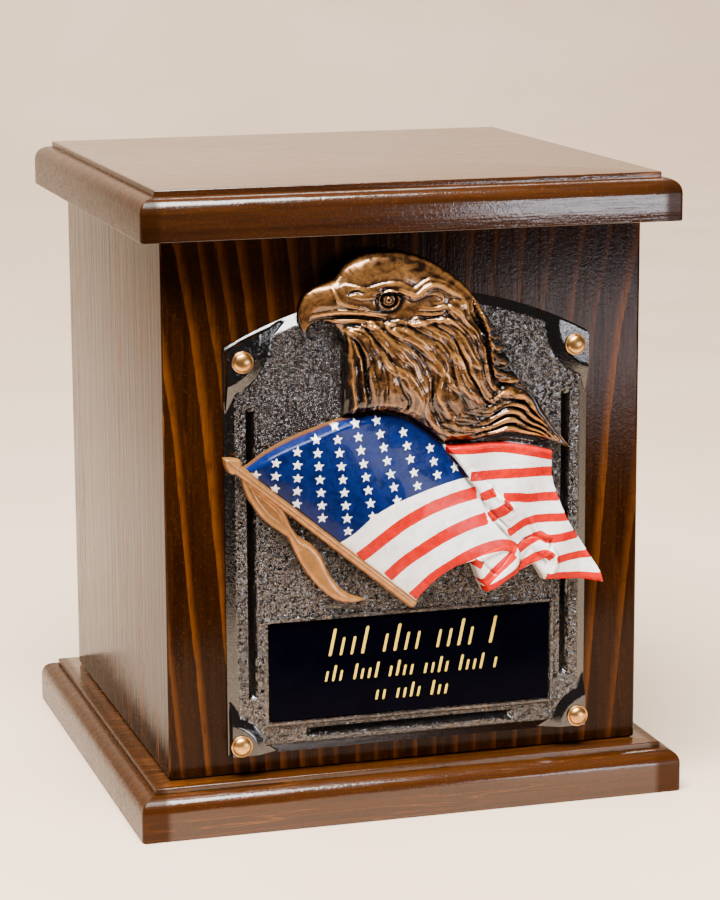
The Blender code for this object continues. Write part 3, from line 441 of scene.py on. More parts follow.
def walnut_finish(name, colours, along_x=False, streaks=(), ior=1.36, gloss=0.4, pale=0.0):
    """Stained wood under lacquer: a dark ground, fine fibres, grain lines and amber streaks.

    The grain runs up the boards, or across them where along_x is set, and then the moulded
    ends are darker and duller. On the side and back walls the lacquer mirrors less towards their
    foot, which is painted shade in the sheen. Each streak has a sharp outer edge, fades inwards,
    and leans away from the middle as it rises. Ior and gloss set how strongly the lacquer
    mirrors, and pale sets how far the grain lines show in the colour, the sheen and the bump.
    """
    material, start, place = new_finish(name)
    x, y, z = start.parts(place)
    along, across = (x, z) if along_x else (z, x)
    grain = start.node("ShaderNodeCombineXYZ", {}, {0: across, 1: y, 2: along * GRAIN_DRAWN})
    wide = noise(grain, 60.0, 2.0, 0.45)
    bands = noise(grain, 260.0, 3.0, 0.55)
    fine = noise(grain, 1500.0, 2.0, 0.6)
    ground = 1.7 if along_x else 1.0
    colour = mixed(bands.between(0.35, 0.65), shade(colours.walnut_dark, ground),
                   shade(colours.walnut_mid, ground))
    line = 1 - (bands - 0.47).maths("ABSOLUTE").between(0.0, 0.03)
    amber = line * wide.between(0.40, 0.55) * (0.55 + pale)
    if streaks:
        rise = (z - STREAK_BEND_FROM).maths("MAXIMUM", 0.0)
        run = x / ((z - STREAK_FOOT) * STREAK_LEAN + rise * rise * STREAK_BEND + 1)
        run = run + (noise(stretched(place, (1, 1, 0.12)), 70.0, 2.0) - 0.5) * 0.0034
        run = run + (fine - 0.5) * 0.0012
        amber = amber * 0.3
        for foot, width, strength in streaks:
            inward = (run - foot) * (1 if foot < 0 else -1)
            fade = inward.between(0.0, 0.0004, 0.0, strength) * inward.between(0.0005, width, 1, 0)
            amber = amber.maths("MAXIMUM", fade)
    amber = amber * fine.between(0.25, 0.60, 0.45, 1.0) * noise(place, 160.0, 3.0).between(
        0.25, 0.55, 0.6, 1.0)
    colour = mixed(amber, colour, paint(colours.walnut_amber))
    colour = mixed(fine.between(0.45, 0.75) * 0.5, colour, shade(colours.walnut_dark, 0.5))
    speck = noise(place, 900.0, 2.0, 0.6, 1.2).between(0.55, 0.72, 0.0, 0.28)
    colour = mixed(speck, colour, shade(colours.walnut_amber, 0.8))
    rough = fine.between(0.3, 0.7, 0.10, 0.20)
    # Painted shade: on the side and back walls the lacquer mirrors less towards their foot
    dull = None if streaks else z.between(*WALL_SHEEN_SHADE, 1.0, 0.0)
    if along_x:
        end = x.maths("ABSOLUTE").between(*BOARD_END)
        dull = end
        rough = rough + end * 0.12
        colour = mixed(end * 0.6, colour, paint(colours.walnut_dark))
        colour = mixed(z.between(*WARM_FOOT, 0.16, 0.0), colour, paint(colours.walnut_amber))
    rough = rough + pale * 0.22 * line * wide.between(0.40, 0.55)
    peel = noise(place, 700.0, 2.0, 0.5, 0.8)
    close_finish(start, {"IOR": ior, "Specular IOR Level": gloss},
                 {"Base Color": colour, "Roughness": rough},
                 peel * 0.6 + fine * 0.35 + bands * 1.2 * (1 + pale), 0.00009, dull)
    return material


def pewter_finish(colours):
    """Cast pewter-brown: dark in the grain, bronze rub where the casting stands high."""
    material, start, place = new_finish("pewter_cast")
    smooth = start.carried("plain")
    stand = start.carried("standing")
    _, _, z = start.parts(place)
    worm = 1 - (noise(place, 600.0, 1.0, 0.5, 1.6) - 0.5).maths("ABSOLUTE").between(0.0, 0.11)
    speck = noise(place, 1300.0, 2.0, 0.6)
    high = stand * 0.35 + worm * 0.50 + speck * 0.25
    colour = mixed(high.between(0.35, 0.80), shade(colours.pewter, 0.12), paint(colours.pewter))
    low_warm = z.between(*RUBBED_PANEL, 1.0, 0.25)
    rub = high.between(0.55, 0.85) * noise(place, 55.0, 2.0).between(0.35, 0.65, 0.3, 1.0) * low_warm
    colour = mixed(rub, colour, paint(colours.pewter_rub))
    colour = mixed(smooth, colour, shade(colours.pewter, 0.16))
    close_finish(start, {"IOR": 1.6, "Specular IOR Level": 0.9, "Metallic": 0.25},
                 {"Base Color": colour,
                  "Roughness": mixed_value(smooth, speck.between(0.3, 0.7, 0.10, 0.20), 0.10)},
                 (worm * 0.8 + speck * 0.15) * (1 - smooth * 0.97), 0.00045)
    return material


def bronze_finish(colours):
    """Antique bronze under gloss: rubbed crests, dark wash in the grooves and a mottled crown."""
    material, start, place = new_finish("antique_bronze")
    mottle = noise(stretched(place, (1, 1, 1.7)), 150.0, 5.0, 0.68, 0.9)
    speck = noise(place, 700.0, 3.0, 0.6)
    level = start.carried("standing") - start.carried("wash") * 0.30
    level = level + (mottle - 0.5) * 0.55 + (speck - 0.5) * 0.2
    colour = mixed(level.between(0.34, 0.74), paint(colours.bronze_low), paint(colours.bronze_high))
    colour = mixed(level.between(0.60, 0.90) * 0.6, colour, shade(colours.bronze_high, 2.0))
    deep = mixed(level.between(0.18, 0.44), shade(colours.bronze_low, 0.15), colour)
    close_finish(start, {"IOR": 1.5, "Metallic": 0.6, "Coat Weight": 0.7, "Coat Roughness": 0.03,
                         "Coat IOR": 1.5},
                 {"Base Color": deep, "Roughness": mottle.between(0.3, 0.7, 0.16, 0.28)},
                 speck * 0.5 + mottle * 0.5, 0.00006)
    return material


def enamel_finish(colours):
    """Glossy enamel by depth: white ground, red bands, blue canton, white stars, gold edging.

    Small noise is added to each depth, so that the edges wander like brushed paint, and the
    hollows hold a dark line.
    """
    material, start, place = new_finish("flag_enamel")
    depth = {name: start.carried(name)
             for name in ("band", "canton", "star", "standing", "edging")}
    brush = noise(place, 260.0, 4.0, 0.6, 0.8)
    white = mixed(brush.between(0.35, 0.75), paint(colours.enamel_white),
                  shade(colours.enamel_white, 0.80))
    red = mixed(brush.between(0.3, 0.7), paint(colours.enamel_red), shade(colours.enamel_red, 0.7))
    blue = mixed(brush.between(0.3, 0.75), paint(colours.enamel_blue),
                 shade(colours.enamel_blue, 2.0))
    wander = (noise(place, 500.0, 2.0) - 0.5) * 0.35
    colour = mixed((depth["band"] + wander).between(-0.12, 0.12), white, red)
    canton = (depth["canton"] + wander * 0.5).between(-0.12, 0.12)
    field = mixed((depth["star"] + wander * 0.3).between(-0.12, 0.12), blue, white)
    colour = mixed(canton, colour, field)
    colour = mixed((depth["edging"] + wander * 0.5).between(-0.15, 0.15), colour,
                   shade(colours.staff_gold, 0.6))
    colour = mixed(depth["standing"].between(0.26, 0.44, 0.6, 0.0), colour,
                   (0.03, 0.012, 0.010, 1.0))
    close_finish(start, {"IOR": 1.3, "Specular IOR Level": 0.2, "Coat Weight": 0.08,
                         "Coat Roughness": 0.04, "Coat IOR": 1.4},
                 {"Base Color": colour, "Roughness": brush.between(0.3, 0.7, 0.14, 0.26)},
                 brush, 0.00014)
    return material


def satin_metal(name, colour, metallic, roughness, scale=300.0):
    """Satin metal or metallic paint with a soft cloudiness and a faint brushed bump."""
    material, start, place = new_finish(name)
    cloud_tint = noise(place, scale, 4.0, 0.6)
    tone = mixed(cloud_tint.between(0.35, 0.7), paint(colour), shade(colour, 0.65))
    close_finish(start, {"Metallic": metallic, "Coat Weight": 0.3, "Coat Roughness": 0.06},
                 {"Base Color": tone,
                  "Roughness": cloud_tint.between(0.3, 0.7, roughness, roughness + 0.1)},
                 cloud_tint, 0.00006)
    return material


def plate_finish():
    """Gloss black plate with the faintest dust and haze in its sheen."""
    material, start, place = new_finish("gloss_black_plate")
    haze = noise(place, 90.0, 4.0, 0.6)
    colour = mixed(haze.between(0.4, 0.7), (0.0004, 0.0004, 0.0018, 1), (0.0007, 0.0007, 0.0026, 1))
    close_finish(start, {"Specular IOR Level": 0.015},
                 {"Base Color": colour, "Roughness": haze.between(0.3, 0.7, 0.10, 0.16)},
                 haze, 0.00002)
    return material


def stroke_finish(colours):
    """Pale gold fill, matt and slightly grained."""
    material, start, place = new_finish("stroke_gold")
    grain = noise(place, 1200.0, 2.0)
    colour = mixed(grain.between(0.35, 0.7), paint(colours.stroke_gold),
                   shade(colours.stroke_gold, 0.85))
    close_finish(start, {"Metallic": 0.0, "Specular IOR Level": 0.3},
                 {"Base Color": colour, "Roughness": grain.between(0.3, 0.7, 0.42, 0.55)},
                 grain, 0.00003)
    return material


def floor_finish():
    """Pale matt floor with a faint cloudiness."""
    material, start, place = new_finish("pale_floor")
    grain = noise(place, 6.0, 3.0)
    colour = mixed(grain.between(0.3, 0.7), (0.66, 0.50, 0.36, 1), (0.70, 0.54, 0.40, 1))
    close_finish(start, {"Specular IOR Level": 0.3},
                 {"Base Color": colour, "Roughness": grain.between(0.3, 0.7, 0.35, 0.45)})
    return material


def sheet_place(across, up, out):
    """From the drawing to the box: across is x, up is z, and out from the wood is towards -Y."""
    return np.stack([across * UNIT, FRONT_FACE - out * UNIT, PANEL_FOOT + up * UNIT], axis=-1)


def mesh_piece(name, points, quads, caps=(), attributes=None, sharp=40.0):
    """A piece from arrays of points and four-sided faces, with many-sided caps after them."""
    mesh = bpy.data.meshes.new(name)
    loops = np.concatenate([np.asarray(quads).ravel()] + [np.asarray(c) for c in caps])
    counts = np.concatenate([np.full(len(quads), 4), [len(c) for c in caps]]).astype(int)
    starts = np.concatenate([[0], np.cumsum(counts)[:-1]])
    mesh.vertices.add(len(points))
    mesh.vertices.foreach_set("co", np.asarray(points, dtype=np.float32).ravel())
    mesh.loops.add(len(loops))
    mesh.loops.foreach_set("vertex_index", loops.astype(np.int32))
    mesh.polygons.add(len(counts))
    mesh.polygons.foreach_set("loop_start", starts.astype(np.int32))
    for key, values in (attributes or {}).items():
        layer = mesh.attributes.new(key, "FLOAT", "POINT")
        layer.data.foreach_set("value", np.asarray(values, dtype=np.float32))
    mesh.update(calc_edges=True)
    mesh.validate()
    mesh.shade_smooth()
    mesh.set_sharp_from_angle(angle=math.radians(sharp))
    obj = bpy.data.objects.new(name, mesh)
    bpy.context.scene.collection.objects.link(obj)
    return obj


def settle(obj, material, slot, *nodes):
    """The piece's finish, the body that it rides on and the nodes that it stands for."""
    obj.data.materials.append(material)
    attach(obj, "root")
    if nodes:
        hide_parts(*nodes)


def grid_corners(index):
    """The four corners of each cell of a grid of point numbers, turning one way round."""
    return np.stack([index[:-1, :-1], index[:-1, 1:], index[1:, 1:], index[1:, :-1]], axis=-1)


def loft(name, rings):
    """A closed solid through like rings, each turning the same way, with flat ends."""
    rings = np.asarray(rings)
    index = np.arange(rings.shape[0] * rings.shape[1]).reshape(rings.shape[:2])
    quads = grid_corners(np.hstack([index, index[:, :1]])).reshape(-1, 4)
    return mesh_piece(name, rings.reshape(-1, 3), quads, (index[0][::-1], index[-1]))


def eased_edge(size):
    """A quarter round that eases an arris: how far in and how far up it lies at each step."""
    angle = np.linspace(0, math.pi / 2, 5)
    return size * (1 - np.sin(angle)), size * (1 - np.cos(angle))


def board_ring(width, depth, inset, level):
    """A rectangle drawn in by inset, with quarter arcs at its corners, at that level."""
    radius = max(BOARD_CORNER - inset, LEAST_CORNER)
    quarter, step = np.divmod(np.arange(28), 7)
    angle = math.pi / 2 * (quarter + step / 6)
    side_x = np.array([1, -1, -1, 1])[quarter]
    side_y = np.array([1, 1, -1, -1])[quarter]
    return np.stack([side_x * (width / 2 - inset - radius) + radius * np.cos(angle),
                     side_y * (depth / 2 - inset - radius) + radius * np.sin(angle),
                     np.full(28, level)], axis=1)


def moulding_profile(thickness):
    """Insets and levels up a board's edge: eased foot, quarter round, ledge, eased step."""
    shoulder = thickness - EDGE_STEP
    turn = np.linspace(0, math.pi / 2, 15)
    foot = np.stack(eased_edge(ARRIS_LOW), axis=1)
    rounded = np.stack([EDGE_ROUND * (1 - np.cos(turn)),
                        shoulder - EDGE_ROUND * (1 - np.sin(turn))], axis=1)
    inset = EDGE_ROUND + EDGE_LEDGE
    drop, over = eased_edge(ARRIS_TOP)
    top = np.stack([inset + over, thickness - drop], axis=1)
    return np.vstack([foot, rounded, [[inset, shoulder]], top])


def moulded_board(name, low, high, thickness, extra=()):
    """A board with the router profile round its edge, over any rings given for beneath it."""
    width, depth = high.x - low.x, high.y - low.y
    foot = high.z - thickness
    rings = list(extra) + [board_ring(width, depth, inset, foot + level)
                           for inset, level in moulding_profile(thickness)]
    return loft(name, rings)


def wall_ring(length, across, inset, level, turn):
    """Plan of a mitred wall: outer face with half a corner's arc at each end, then the mitres."""
    half, face = length / 2 - inset, -across / 2 + inset
    radius = max(BODY_CORNER - inset, LEAST_CORNER)
    angle = np.radians(np.linspace(270, 225, 5))
    arc = np.stack([-half + radius * (1 + np.cos(angle)), face + radius * (1 + np.sin(angle))], 1)
    left = np.vstack([arc, [[-length / 2 + WALL, -across / 2 + WALL]]])
    plan = np.vstack([left, (left * (-1, 1))[::-1]])[::-1]
    a = math.radians(turn)
    x = plan[:, 0] * math.cos(a) - plan[:, 1] * math.sin(a)
    y = plan[:, 0] * math.sin(a) + plan[:, 1] * math.cos(a)
    return np.stack([x, y, np.full(len(plan), level)], axis=1)


def wall_board(name, length, across, turn):
    """A wall from the base to the lid, its outer face eased at top and bottom."""
    insets, levels = eased_edge(BODY_ARRIS)
    places = [*zip(insets, FRONT_LOW.z + levels),
              *zip(insets[::-1], FRONT_HIGH.z - levels[::-1])]
    return loft(name, [wall_ring(length, across, inset, level, turn) for inset, level in places])


def smooth_curve(points, per_span=4):
    """Points along a curve that passes through each of the given ones (Catmull-Rom)."""
    p = np.array(points, dtype=float)
    ends = np.vstack([2 * p[0] - p[1], p, 2 * p[-1] - p[-2]])
    t = np.arange(per_span)[:, None] / per_span
    spans = []
    for a, b, c, d in zip(ends, ends[1:], ends[2:], ends[3:]):
        spans.append(0.5 * (2 * b + (c - a) * t + (2 * a - 5 * b + 4 * c - d) * t**2
                            + (3 * b - a - 3 * c + d) * t**3))
    return np.vstack(spans + [p[-1:]])


def joined(*runs):
    """One closed outline from runs of points, without the ones that repeat."""
    outline = []
    for run in runs:
        for point in run:
            if not outline or math.dist(point, outline[-1]) > OUTLINE_STEP:
                outline.append((float(point[0]), float(point[1])))
    if math.dist(outline[0], outline[-1]) < OUTLINE_STEP:
        outline.pop()
    return np.array(outline)


def distance_to_path(points, path, closed=False):
    """Distance from each point to a path of straight runs."""
    starts = path if closed else path[:-1]
    stops = np.roll(path, -1, axis=0) if closed else path[1:]
    best = np.full(len(points), np.inf)
    for a, b in zip(starts, stops):
        along = b - a
        share = np.clip((points - a) @ along / max(along @ along, 1e-12), 0, 1)
        away = points - (a + share[:, None] * along)
        best = np.minimum(best, np.hypot(away[:, 0], away[:, 1]))
    return best


def nearest_on(points, outline):
    """The nearest place on a closed outline to each point."""
    runs = np.roll(outline, -1, axis=0) - outline
    offset = points[:, None] - outline[None]
    share = np.clip(np.sum(offset * runs, axis=2) / np.sum(runs * runs, axis=1), 0, 1)
    places = outline + share[..., None] * runs
    away = np.hypot(*(points[:, None] - places).transpose(2, 0, 1))
    return places[np.arange(len(points)), away.argmin(axis=1)]


def inside(points, outline):
    """Whether each point lies inside the outline, by the crossings to its right."""
    x, y = points[:, 0], points[:, 1]
    found = np.zeros(len(points), dtype=bool)
    for (x0, y0), (x1, y1) in zip(outline, np.roll(outline, -1, axis=0)):
        if y0 == y1:
            continue
        found ^= ((y0 > y) != (y1 > y)) & (x < (x1 - x0) * (y - y0) / (y1 - y0) + x0)
    return found


def step_up(value, low, high):
    """Nought below low, one above high, and a smooth rise between."""
    t = np.clip((value - low) / (high - low), 0, 1)
    return t * t * (3 - 2 * t)


def rounded_edge(distance, radius):
    """A quarter round that rises from nought at the outline to one at radius in from it."""
    t = 1 - np.clip(distance / radius, 0, 1)
    return np.sqrt(1 - t * t)


def near_path(points, path, reach):
    """The points within reach of a path: which they are, how far off, and how far along it."""
    low, high = path.min(axis=0) - reach, path.max(axis=0) + reach
    near = np.flatnonzero(np.all((points > low) & (points < high), axis=1))
    runs = np.diff(path, axis=0)
    lengths = np.hypot(*runs.T)
    before = np.concatenate([[0.0], np.cumsum(lengths)])
    offset = points[near][:, None] - path[:-1][None]
    share = np.clip(np.sum(offset * runs, axis=2) / np.maximum(lengths**2, 1e-12), 0, 1)
    away = np.hypot(*(offset - share[..., None] * runs).transpose(2, 0, 1))
    best = away.argmin(axis=1)
    rows = np.arange(len(near))
    along = (before[best] + share[rows, best] * lengths[best]) / before[-1]
    return near, away[rows, best], along


def ridge(points, path, width, taper=0.45):
    """A rounded ridge along a path, full in its middle and narrower at its ends: 0 to 1."""
    width = np.broadcast_to(width, len(path))
    near, away, along = near_path(points, path, width.max() / 2)
    runs = np.hypot(*np.diff(path, axis=0).T)
    marks = np.concatenate([[0.0], np.cumsum(runs)]) / runs.sum()
    wide = np.interp(along, marks, width)
    swell = taper + (1 - taper) * np.sin(np.pi * np.clip(along, 0, 1)) ** 0.6
    found = np.zeros(len(points))
    found[near] = swell * np.sqrt(1 - np.clip(away / (wide / 2), 0, 1) ** 2)
    return found


def marked(points, table, taper=0.45):
    """The ridges of a table of paths, widths and heights, one after another."""
    for path, width, rise in table:
        yield rise * ridge(points, smooth_curve(path, 4), width, taper)


def guide_family(guides):
    """A family of guide curves, each with the same number of points."""
    curves = [smooth_curve(g, 8) for g in guides]
    count = min(len(c) for c in curves)
    return np.array([c[np.linspace(0, len(c) - 1, count).round().astype(int)] for c in curves])


def curve_between(family, share):
    """The curve at a share of the way across the family, blended from its two neighbours."""
    place = share * (len(family) - 1)
    low = min(int(place), len(family) - 2)
    return (1 - (place - low)) * family[low] + (place - low) * family[low + 1]


def locks_between(guides, across):
    """Feather locks laid across a family of guides: each centre line and its width along it."""
    family = guide_family(guides)
    half = 0.5 / (across - 1)
    for i in range(across):
        share = i / (across - 1)
        lower = curve_between(family, max(share - half, 0))
        upper = curve_between(family, min(share + half, 1))
        reach = min(share + half, 1) - max(share - half, 0)
        curve = curve_between(family, share)
        run = np.gradient(curve, axis=0)
        run /= np.hypot(*run.T)[:, None]
        spread = np.abs(np.sum((upper - lower) * np.stack([-run[:, 1], run[:, 0]], axis=1), axis=1))
        yield curve, LOCK_FILL * spread * 2 * half / reach


def cloud(points, size, seed):
    """Smooth random values from 0 to 1: a seeded lattice of that size, blended between."""
    place = points / size
    low = np.floor(place.min(axis=0)).astype(int)
    cell = np.floor(place).astype(int) - low
    share = place - np.floor(place)
    u, v = (share * share * (3 - 2 * share)).T
    lattice = np.random.default_rng(seed).random(tuple(cell.max(axis=0) + 2))
    i, j = cell.T
    return ((lattice[i, j] * (1 - u) + lattice[i + 1, j] * u) * (1 - v)
            + (lattice[i, j + 1] * (1 - u) + lattice[i + 1, j + 1] * u) * v)


def drawn_size(name):
    """A size from the sidebar, in drawing units."""
    return getattr(bpy.context.scene.urn_box_sizes, name) / UNIT


def flag_top():
    """The flag's upper edge, from the staff over the canton's swell to the fly corner."""
    canton = smooth_curve([(-68.5, 115.5), (-60, 121.5), (-50, 126.5), (-40, 130), (-30, 133),
                           (-20, 134.6), (-12, 134.6), (-5, 133), (0, 130.5), (6, 126),
                           (12, 121)], 2)
    fly = smooth_curve([(12, 121), (25, 120.2), (40, 120), (50, 118), (58, 115.5)], 2)
    return canton, fly


def flag_outline():
    """The upper edge, the fly, the folded foot with its curled corner, and the hem."""
    canton, fly = flag_top()
    right = smooth_curve([(58, 115.5), (57.8, 106), (60, 98), (64.5, 87), (70.5, 78), (75.5, 70),
                          (78.8, 64.5), (79.6, 60.5)], 2)
    tail = [(70, 62.3), (60, 63), (54, 63.5), (52, 67), (50, 70.2)]
    dip = smooth_curve([(50, 70.2), (44, 67.5), (38, 64.5), (33, 61.5), (29, 60.5)], 2)
    curl = [(26.8, 65), (25, 70), (23.4, 73.4)]
    hem = smooth_curve([(23.4, 73.4), (17, 72), (10, 68), (4, 62.5), (0.6, 57.8)], 2)
    return joined(canton, fly, right, tail, dip, curl, hem)


def back_feather_tips():
    """Ragged feather tips down the nape: evenly spaced along one curve, with a notch between."""
    guide = smooth_curve(BACK_TIPS, 20)
    places = np.linspace(0, len(guide) - 1, BACK_TIP_COUNT).round().astype(int)
    points = []
    for place in places:
        tip = guide[place]
        points.append(tip)
        points.append(tip + np.array(BACK_NOTCH))
    return points


def eagle_outline():
    """Beak, crown, ragged nape, shoulder, the edge along the flag, throat and chin."""
    crown = smooth_curve([(-43.5, 167.5), (-45.6, 173.5), (-45, 179), (-42.5, 183.3),
                          (-38, 186), (-32, 188.2), (-29, 192), (-25, 195.3), (-19, 197.6),
                          (-11, 198.2), (-3, 197.3), (5, 194.5), (12, 190.5), (18, 186),
                          (23, 181.5), (27, 176), (30, 171.5)], 2)
    shoulder = smooth_curve([(46.5, 141.5), (51, 137), (55, 130.5), (59.5, 124),
                             (65.5, 116.2)], 2)
    under = [(61, 118), (57, 119.3)]
    canton, fly = flag_top()
    lift = 0.45
    fly_edge = fly[(fly[:, 0] > 12) & (fly[:, 0] < 54)][::-1] + (0, lift + 0.35)
    slope = np.gradient(canton, axis=0)
    square = np.stack([-slope[:, 1], slope[:, 0]], axis=1)
    square /= np.hypot(*square.T)[:, None]
    canton_edge = (canton + square * lift)[canton[:, 0] > -28.5][::-1]
    throat = smooth_curve([(-28.4, 134.6), (-28.2, 146), (-28.4, 157), (-28, 163),
                           (-30, 168), (-33.5, 171.3)], 2)
    chin = smooth_curve([(-33.5, 171.3), (-37, 172), (-40.5, 171), (-42, 169)], 2)
    return joined(crown, back_feather_tips(), shoulder, under, fly_edge,
                  canton_edge, throat, chin)


# Feather guides over the neck, from the throat round to the nape
NECK_GUIDES = (
    ((-27, 168), (-26.5, 158), (-26, 147), (-25, 136), (-24, 124)),
    ((-27, 169), (-19, 160), (-15, 149), (-13, 136), (-13, 124)),
    ((-22, 169.5), (-11, 161), (-5, 151), (-2, 142), (-0.5, 134), (1, 122)),
    ((-14, 169), (-3, 163), (4, 155), (6, 146), (7, 138), (11, 130), (15, 120)),
    ((-4, 169), (6, 164), (12, 156), (14, 148), (18, 140), (23, 131), (29, 121)),
    ((5, 169.5), (13, 164), (18, 156), (21, 148), (26, 141), (32, 134)),
    ((12, 171), (20, 166), (25, 157), (28, 148), (33, 141), (39, 136)),
    ((17, 176), (24, 168), (28, 158), (31, 149), (36, 142), (43, 138)),
)
SHOULDER_GUIDES = (
    ((30, 137), (38, 140), (46, 136.5), (53, 130.5), (58, 124)),
    ((20, 133), (30, 132.5), (42, 133), (53, 127), (61, 119.5)),
    ((12, 128), (24, 127), (38, 128.5), (51, 124), (63, 117.5)),
    ((14, 123.5), (26, 123), (39, 124), (50, 121.5), (60, 119)),
)
# Nape feathers, from the parting behind the cheek out to the ragged tips
NAPE_GUIDES = (
    ((23.5, 180), (28, 174), (32.5, 168)),
    ((26, 175.5), (30, 168.5), (34.5, 165)),
    ((28, 169), (32, 160.5), (38.5, 157.5)),
    ((29, 161), (33.5, 153), (42, 150.5)),
    ((30, 153), (35.5, 145.5), (45.8, 143.5)),
)
# Crest lines that stand out singly: path, width and rise
EAGLE_CRESTS = (
    (((-15, 182.8), (-10.8, 183.4), (-5.8, 182.8), (-0.8, 181), (0.8, 181.5), (3.3, 183.6),
      (6.7, 184.7), (10, 184), (14.2, 181.5), (18.3, 179.2), (20.8, 175.7)), 1.9, 1.0),
    (((-33.4, 185.5), (-31.6, 181), (-30, 178.9), (-27, 177.8), (-22.5, 176.7),
      (-18.5, 174.9)), 1.5, 0.7),
    (((-40, 174.2), (-33, 175.2), (-28, 175.4), (-20, 174.6), (-12.5, 173)), 2.2, 0.9),
    (((-38.5, 170.9), (-33, 171.7), (-26, 171.9), (-18.3, 171), (-14.2, 170.6),
      (-11.2, 171.8)), 1.5, 0.7),
    (((-22.5, 170.0), (-12.5, 169.6), (-7, 170.4), (-1.7, 169.3), (3.3, 170.0), (11.7, 170.5),
      (16.7, 168.8), (20.8, 165.0), (23.3, 161), (25, 155)), 2.3, 1.2),
    (((0.4, 173.6), (6.7, 173.1), (11.3, 173.7)), 1.5, 0.8),
    (((1, 176), (7, 175.2), (12, 176), (17, 173.2), (20.8, 168.4), (24.2, 163.5),
      (26.4, 155)), 1.8, 0.9),
    (((0.8, 180), (4, 181.3), (7.5, 181.4), (10.5, 179.6), (10, 177.6), (6.5, 177.2)), 1.2, 0.6),
    (((-14.2, 164), (-13.3, 156.5), (-9.2, 152.3), (-3.3, 149.4), (-1.5, 145)), 3.5, 1.0),
    (((-13.3, 167), (-9.2, 162.3), (-5, 157.3), (-0.8, 154), (0.9, 149)), 3.0, 0.9),
    (((-10, 167.8), (-5.8, 162.3), (0, 157.3), (3.8, 151.5)), 3.0, 0.9),
    (((-4.5, 167.5), (1.5, 162.3), (5.5, 158.5), (6.5, 154.5)), 3.0, 0.8),
    (((7.5, 166.8), (10, 161.5), (13.3, 157.3), (17.2, 154.3), (19.4, 150.8), (22, 147.6),
      (26, 145.5)), 3.2, 1.0),
    (((11.7, 167.6), (15, 162.3), (19.2, 157.3), (23, 153.8), (27.2, 151.2), (29, 146)), 3.0, 0.9),
    (((3.3, 156), (10, 150.7), (13.3, 146.5), (19.2, 142.3), (24, 139.4), (29.4, 137),
      (31.4, 139.4)), 3.5, 1.0),
    (((16, 166), (20, 160), (24, 154), (28.5, 150.5), (30.5, 144)), 2.4, 0.8),
    (((-1, 146), (2.5, 140), (5, 134), (9, 128.5), (15, 125), (22.5, 123.4)), 3.0, 0.8),
    (((8.3, 133.2), (13.3, 129), (20.8, 126.8), (29.2, 126.9), (37.5, 128.4), (44.2, 128.6),
      (54.2, 124)), 3.0, 0.8),
    (((30, 132), (35, 138.5), (43, 141.4)), 3.0, 0.8),
    (((30.5, 131.5), (37, 136.8), (47.5, 138.2)), 2.7, 0.8),
    (((31, 131), (40, 134.2), (51.5, 132.8)), 2.7, 0.8),
    (((31.5, 130), (42, 131.8), (56, 126.6)), 2.7, 0.8),
    (((31, 124.5), (40, 125.4), (50, 122.8), (61, 118.4)), 4.1, 0.9),
    (((-26, 166), (-25.2, 160), (-26.3, 154), (-24.8, 147), (-25.5, 139)), 4.6, 0.9),
    (((-22, 165), (-21, 158), (-22.5, 151), (-20.5, 144), (-21, 137)), 4.6, 0.9),
    (((-18, 164), (-16.8, 156), (-18, 149), (-15.8, 142), (-16.5, 136)), 4.6, 0.9),
)
# Layers of strands: guides, how many strands lie across them, and their height
STRAND_LAYERS = ((NECK_GUIDES, 20, 1.7), (NECK_GUIDES, 35, 0.9), (SHOULDER_GUIDES, 13, 1.3),
                 (NAPE_GUIDES, 13, 2.2))
# Where the nape's feathers start, and the line of the brow
NAPE_ROOT = (27.0, 172.0)
EAGLE_BROW = ((-28, 184), (-20, 182.5), (-13, 184), (-7, 184), (-1, 181.5), (6, 185), (14, 181.5),
              (22, 175))
# Grooves: path, width and depth
EAGLE_GROOVES = (
    (((-41, 171.9), (-34, 173.2), (-24, 173.4), (-17, 172.5), (-12, 171.4)), 1.5, 1.0),
    (((-27.5, 182.2), (-24.5, 183.4), (-21.5, 182.8)), 1.6, 1.1),
    (((24.5, 176), (27, 168), (29, 160), (30.5, 151), (32.5, 144)), 2.6, 2.2),
    (((-17.5, 181.4), (-14, 181.8), (-9.5, 181.9), (-5, 180.6), (-2, 178.8)), 1.4, 0.9),
)


def eye_distance(points):
    """Distance from the eye's middle. Heights count for more, so its rings are a little flat."""
    return np.hypot(points[:, 0] - EYE[0], (points[:, 1] - EYE[1]) * EYE_FLAT)


def eagle_body(points, edge):
    """A dome rounded over at its outline, lower at the beak, the nape and the shoulder.

    The smooth crown and beak stand higher than the rest, which the feathers make up for.
    """
    x, y = points[:, 0], points[:, 1]
    beak = 3.2 * step_up(-x, 27, 44)
    nape = 4.6 * step_up(x + 0.35 * (160 - y), 22, 46)
    foot = 1.6 * step_up(150 - y, 0, 20)
    depth = EAGLE_DEPTH - beak - nape - foot
    radius = EAGLE_ROUND - 6.0 * step_up(-x, 26, 34) * step_up(y, 164, 168)
    dome = rounded_edge(edge, radius)
    height = EAGLE_WALL + (depth - EAGLE_WALL - FEATHER_DROP) * dome
    return height + CROWN_RISE * step_up(y - 0.12 * np.abs(x - 10), 166, 176) * dome


def eagle_locks(points, waved):
    """Feather locks from 0 to 1: ridges along the guides, and nape feathers to their tips."""
    locks = np.zeros(len(points))
    for guides, across in ((NECK_GUIDES, NECK_LOCKS), (SHOULDER_GUIDES, SHOULDER_LOCKS)):
        for path, width in locks_between(guides, across):
            locks = np.maximum(locks, ridge(waved, path, width))
    for i, tip in enumerate(back_feather_tips()[::2]):
        start = np.add(NAPE_ROOT, (0.7 * i, 4.0 - 6.2 * i))
        middle = (start + tip) / 2 + (-1.2, -1.6)
        locks = np.maximum(locks, 0.8 * ridge(points, smooth_curve([start, middle, tip], 4), 4.2))
    return locks


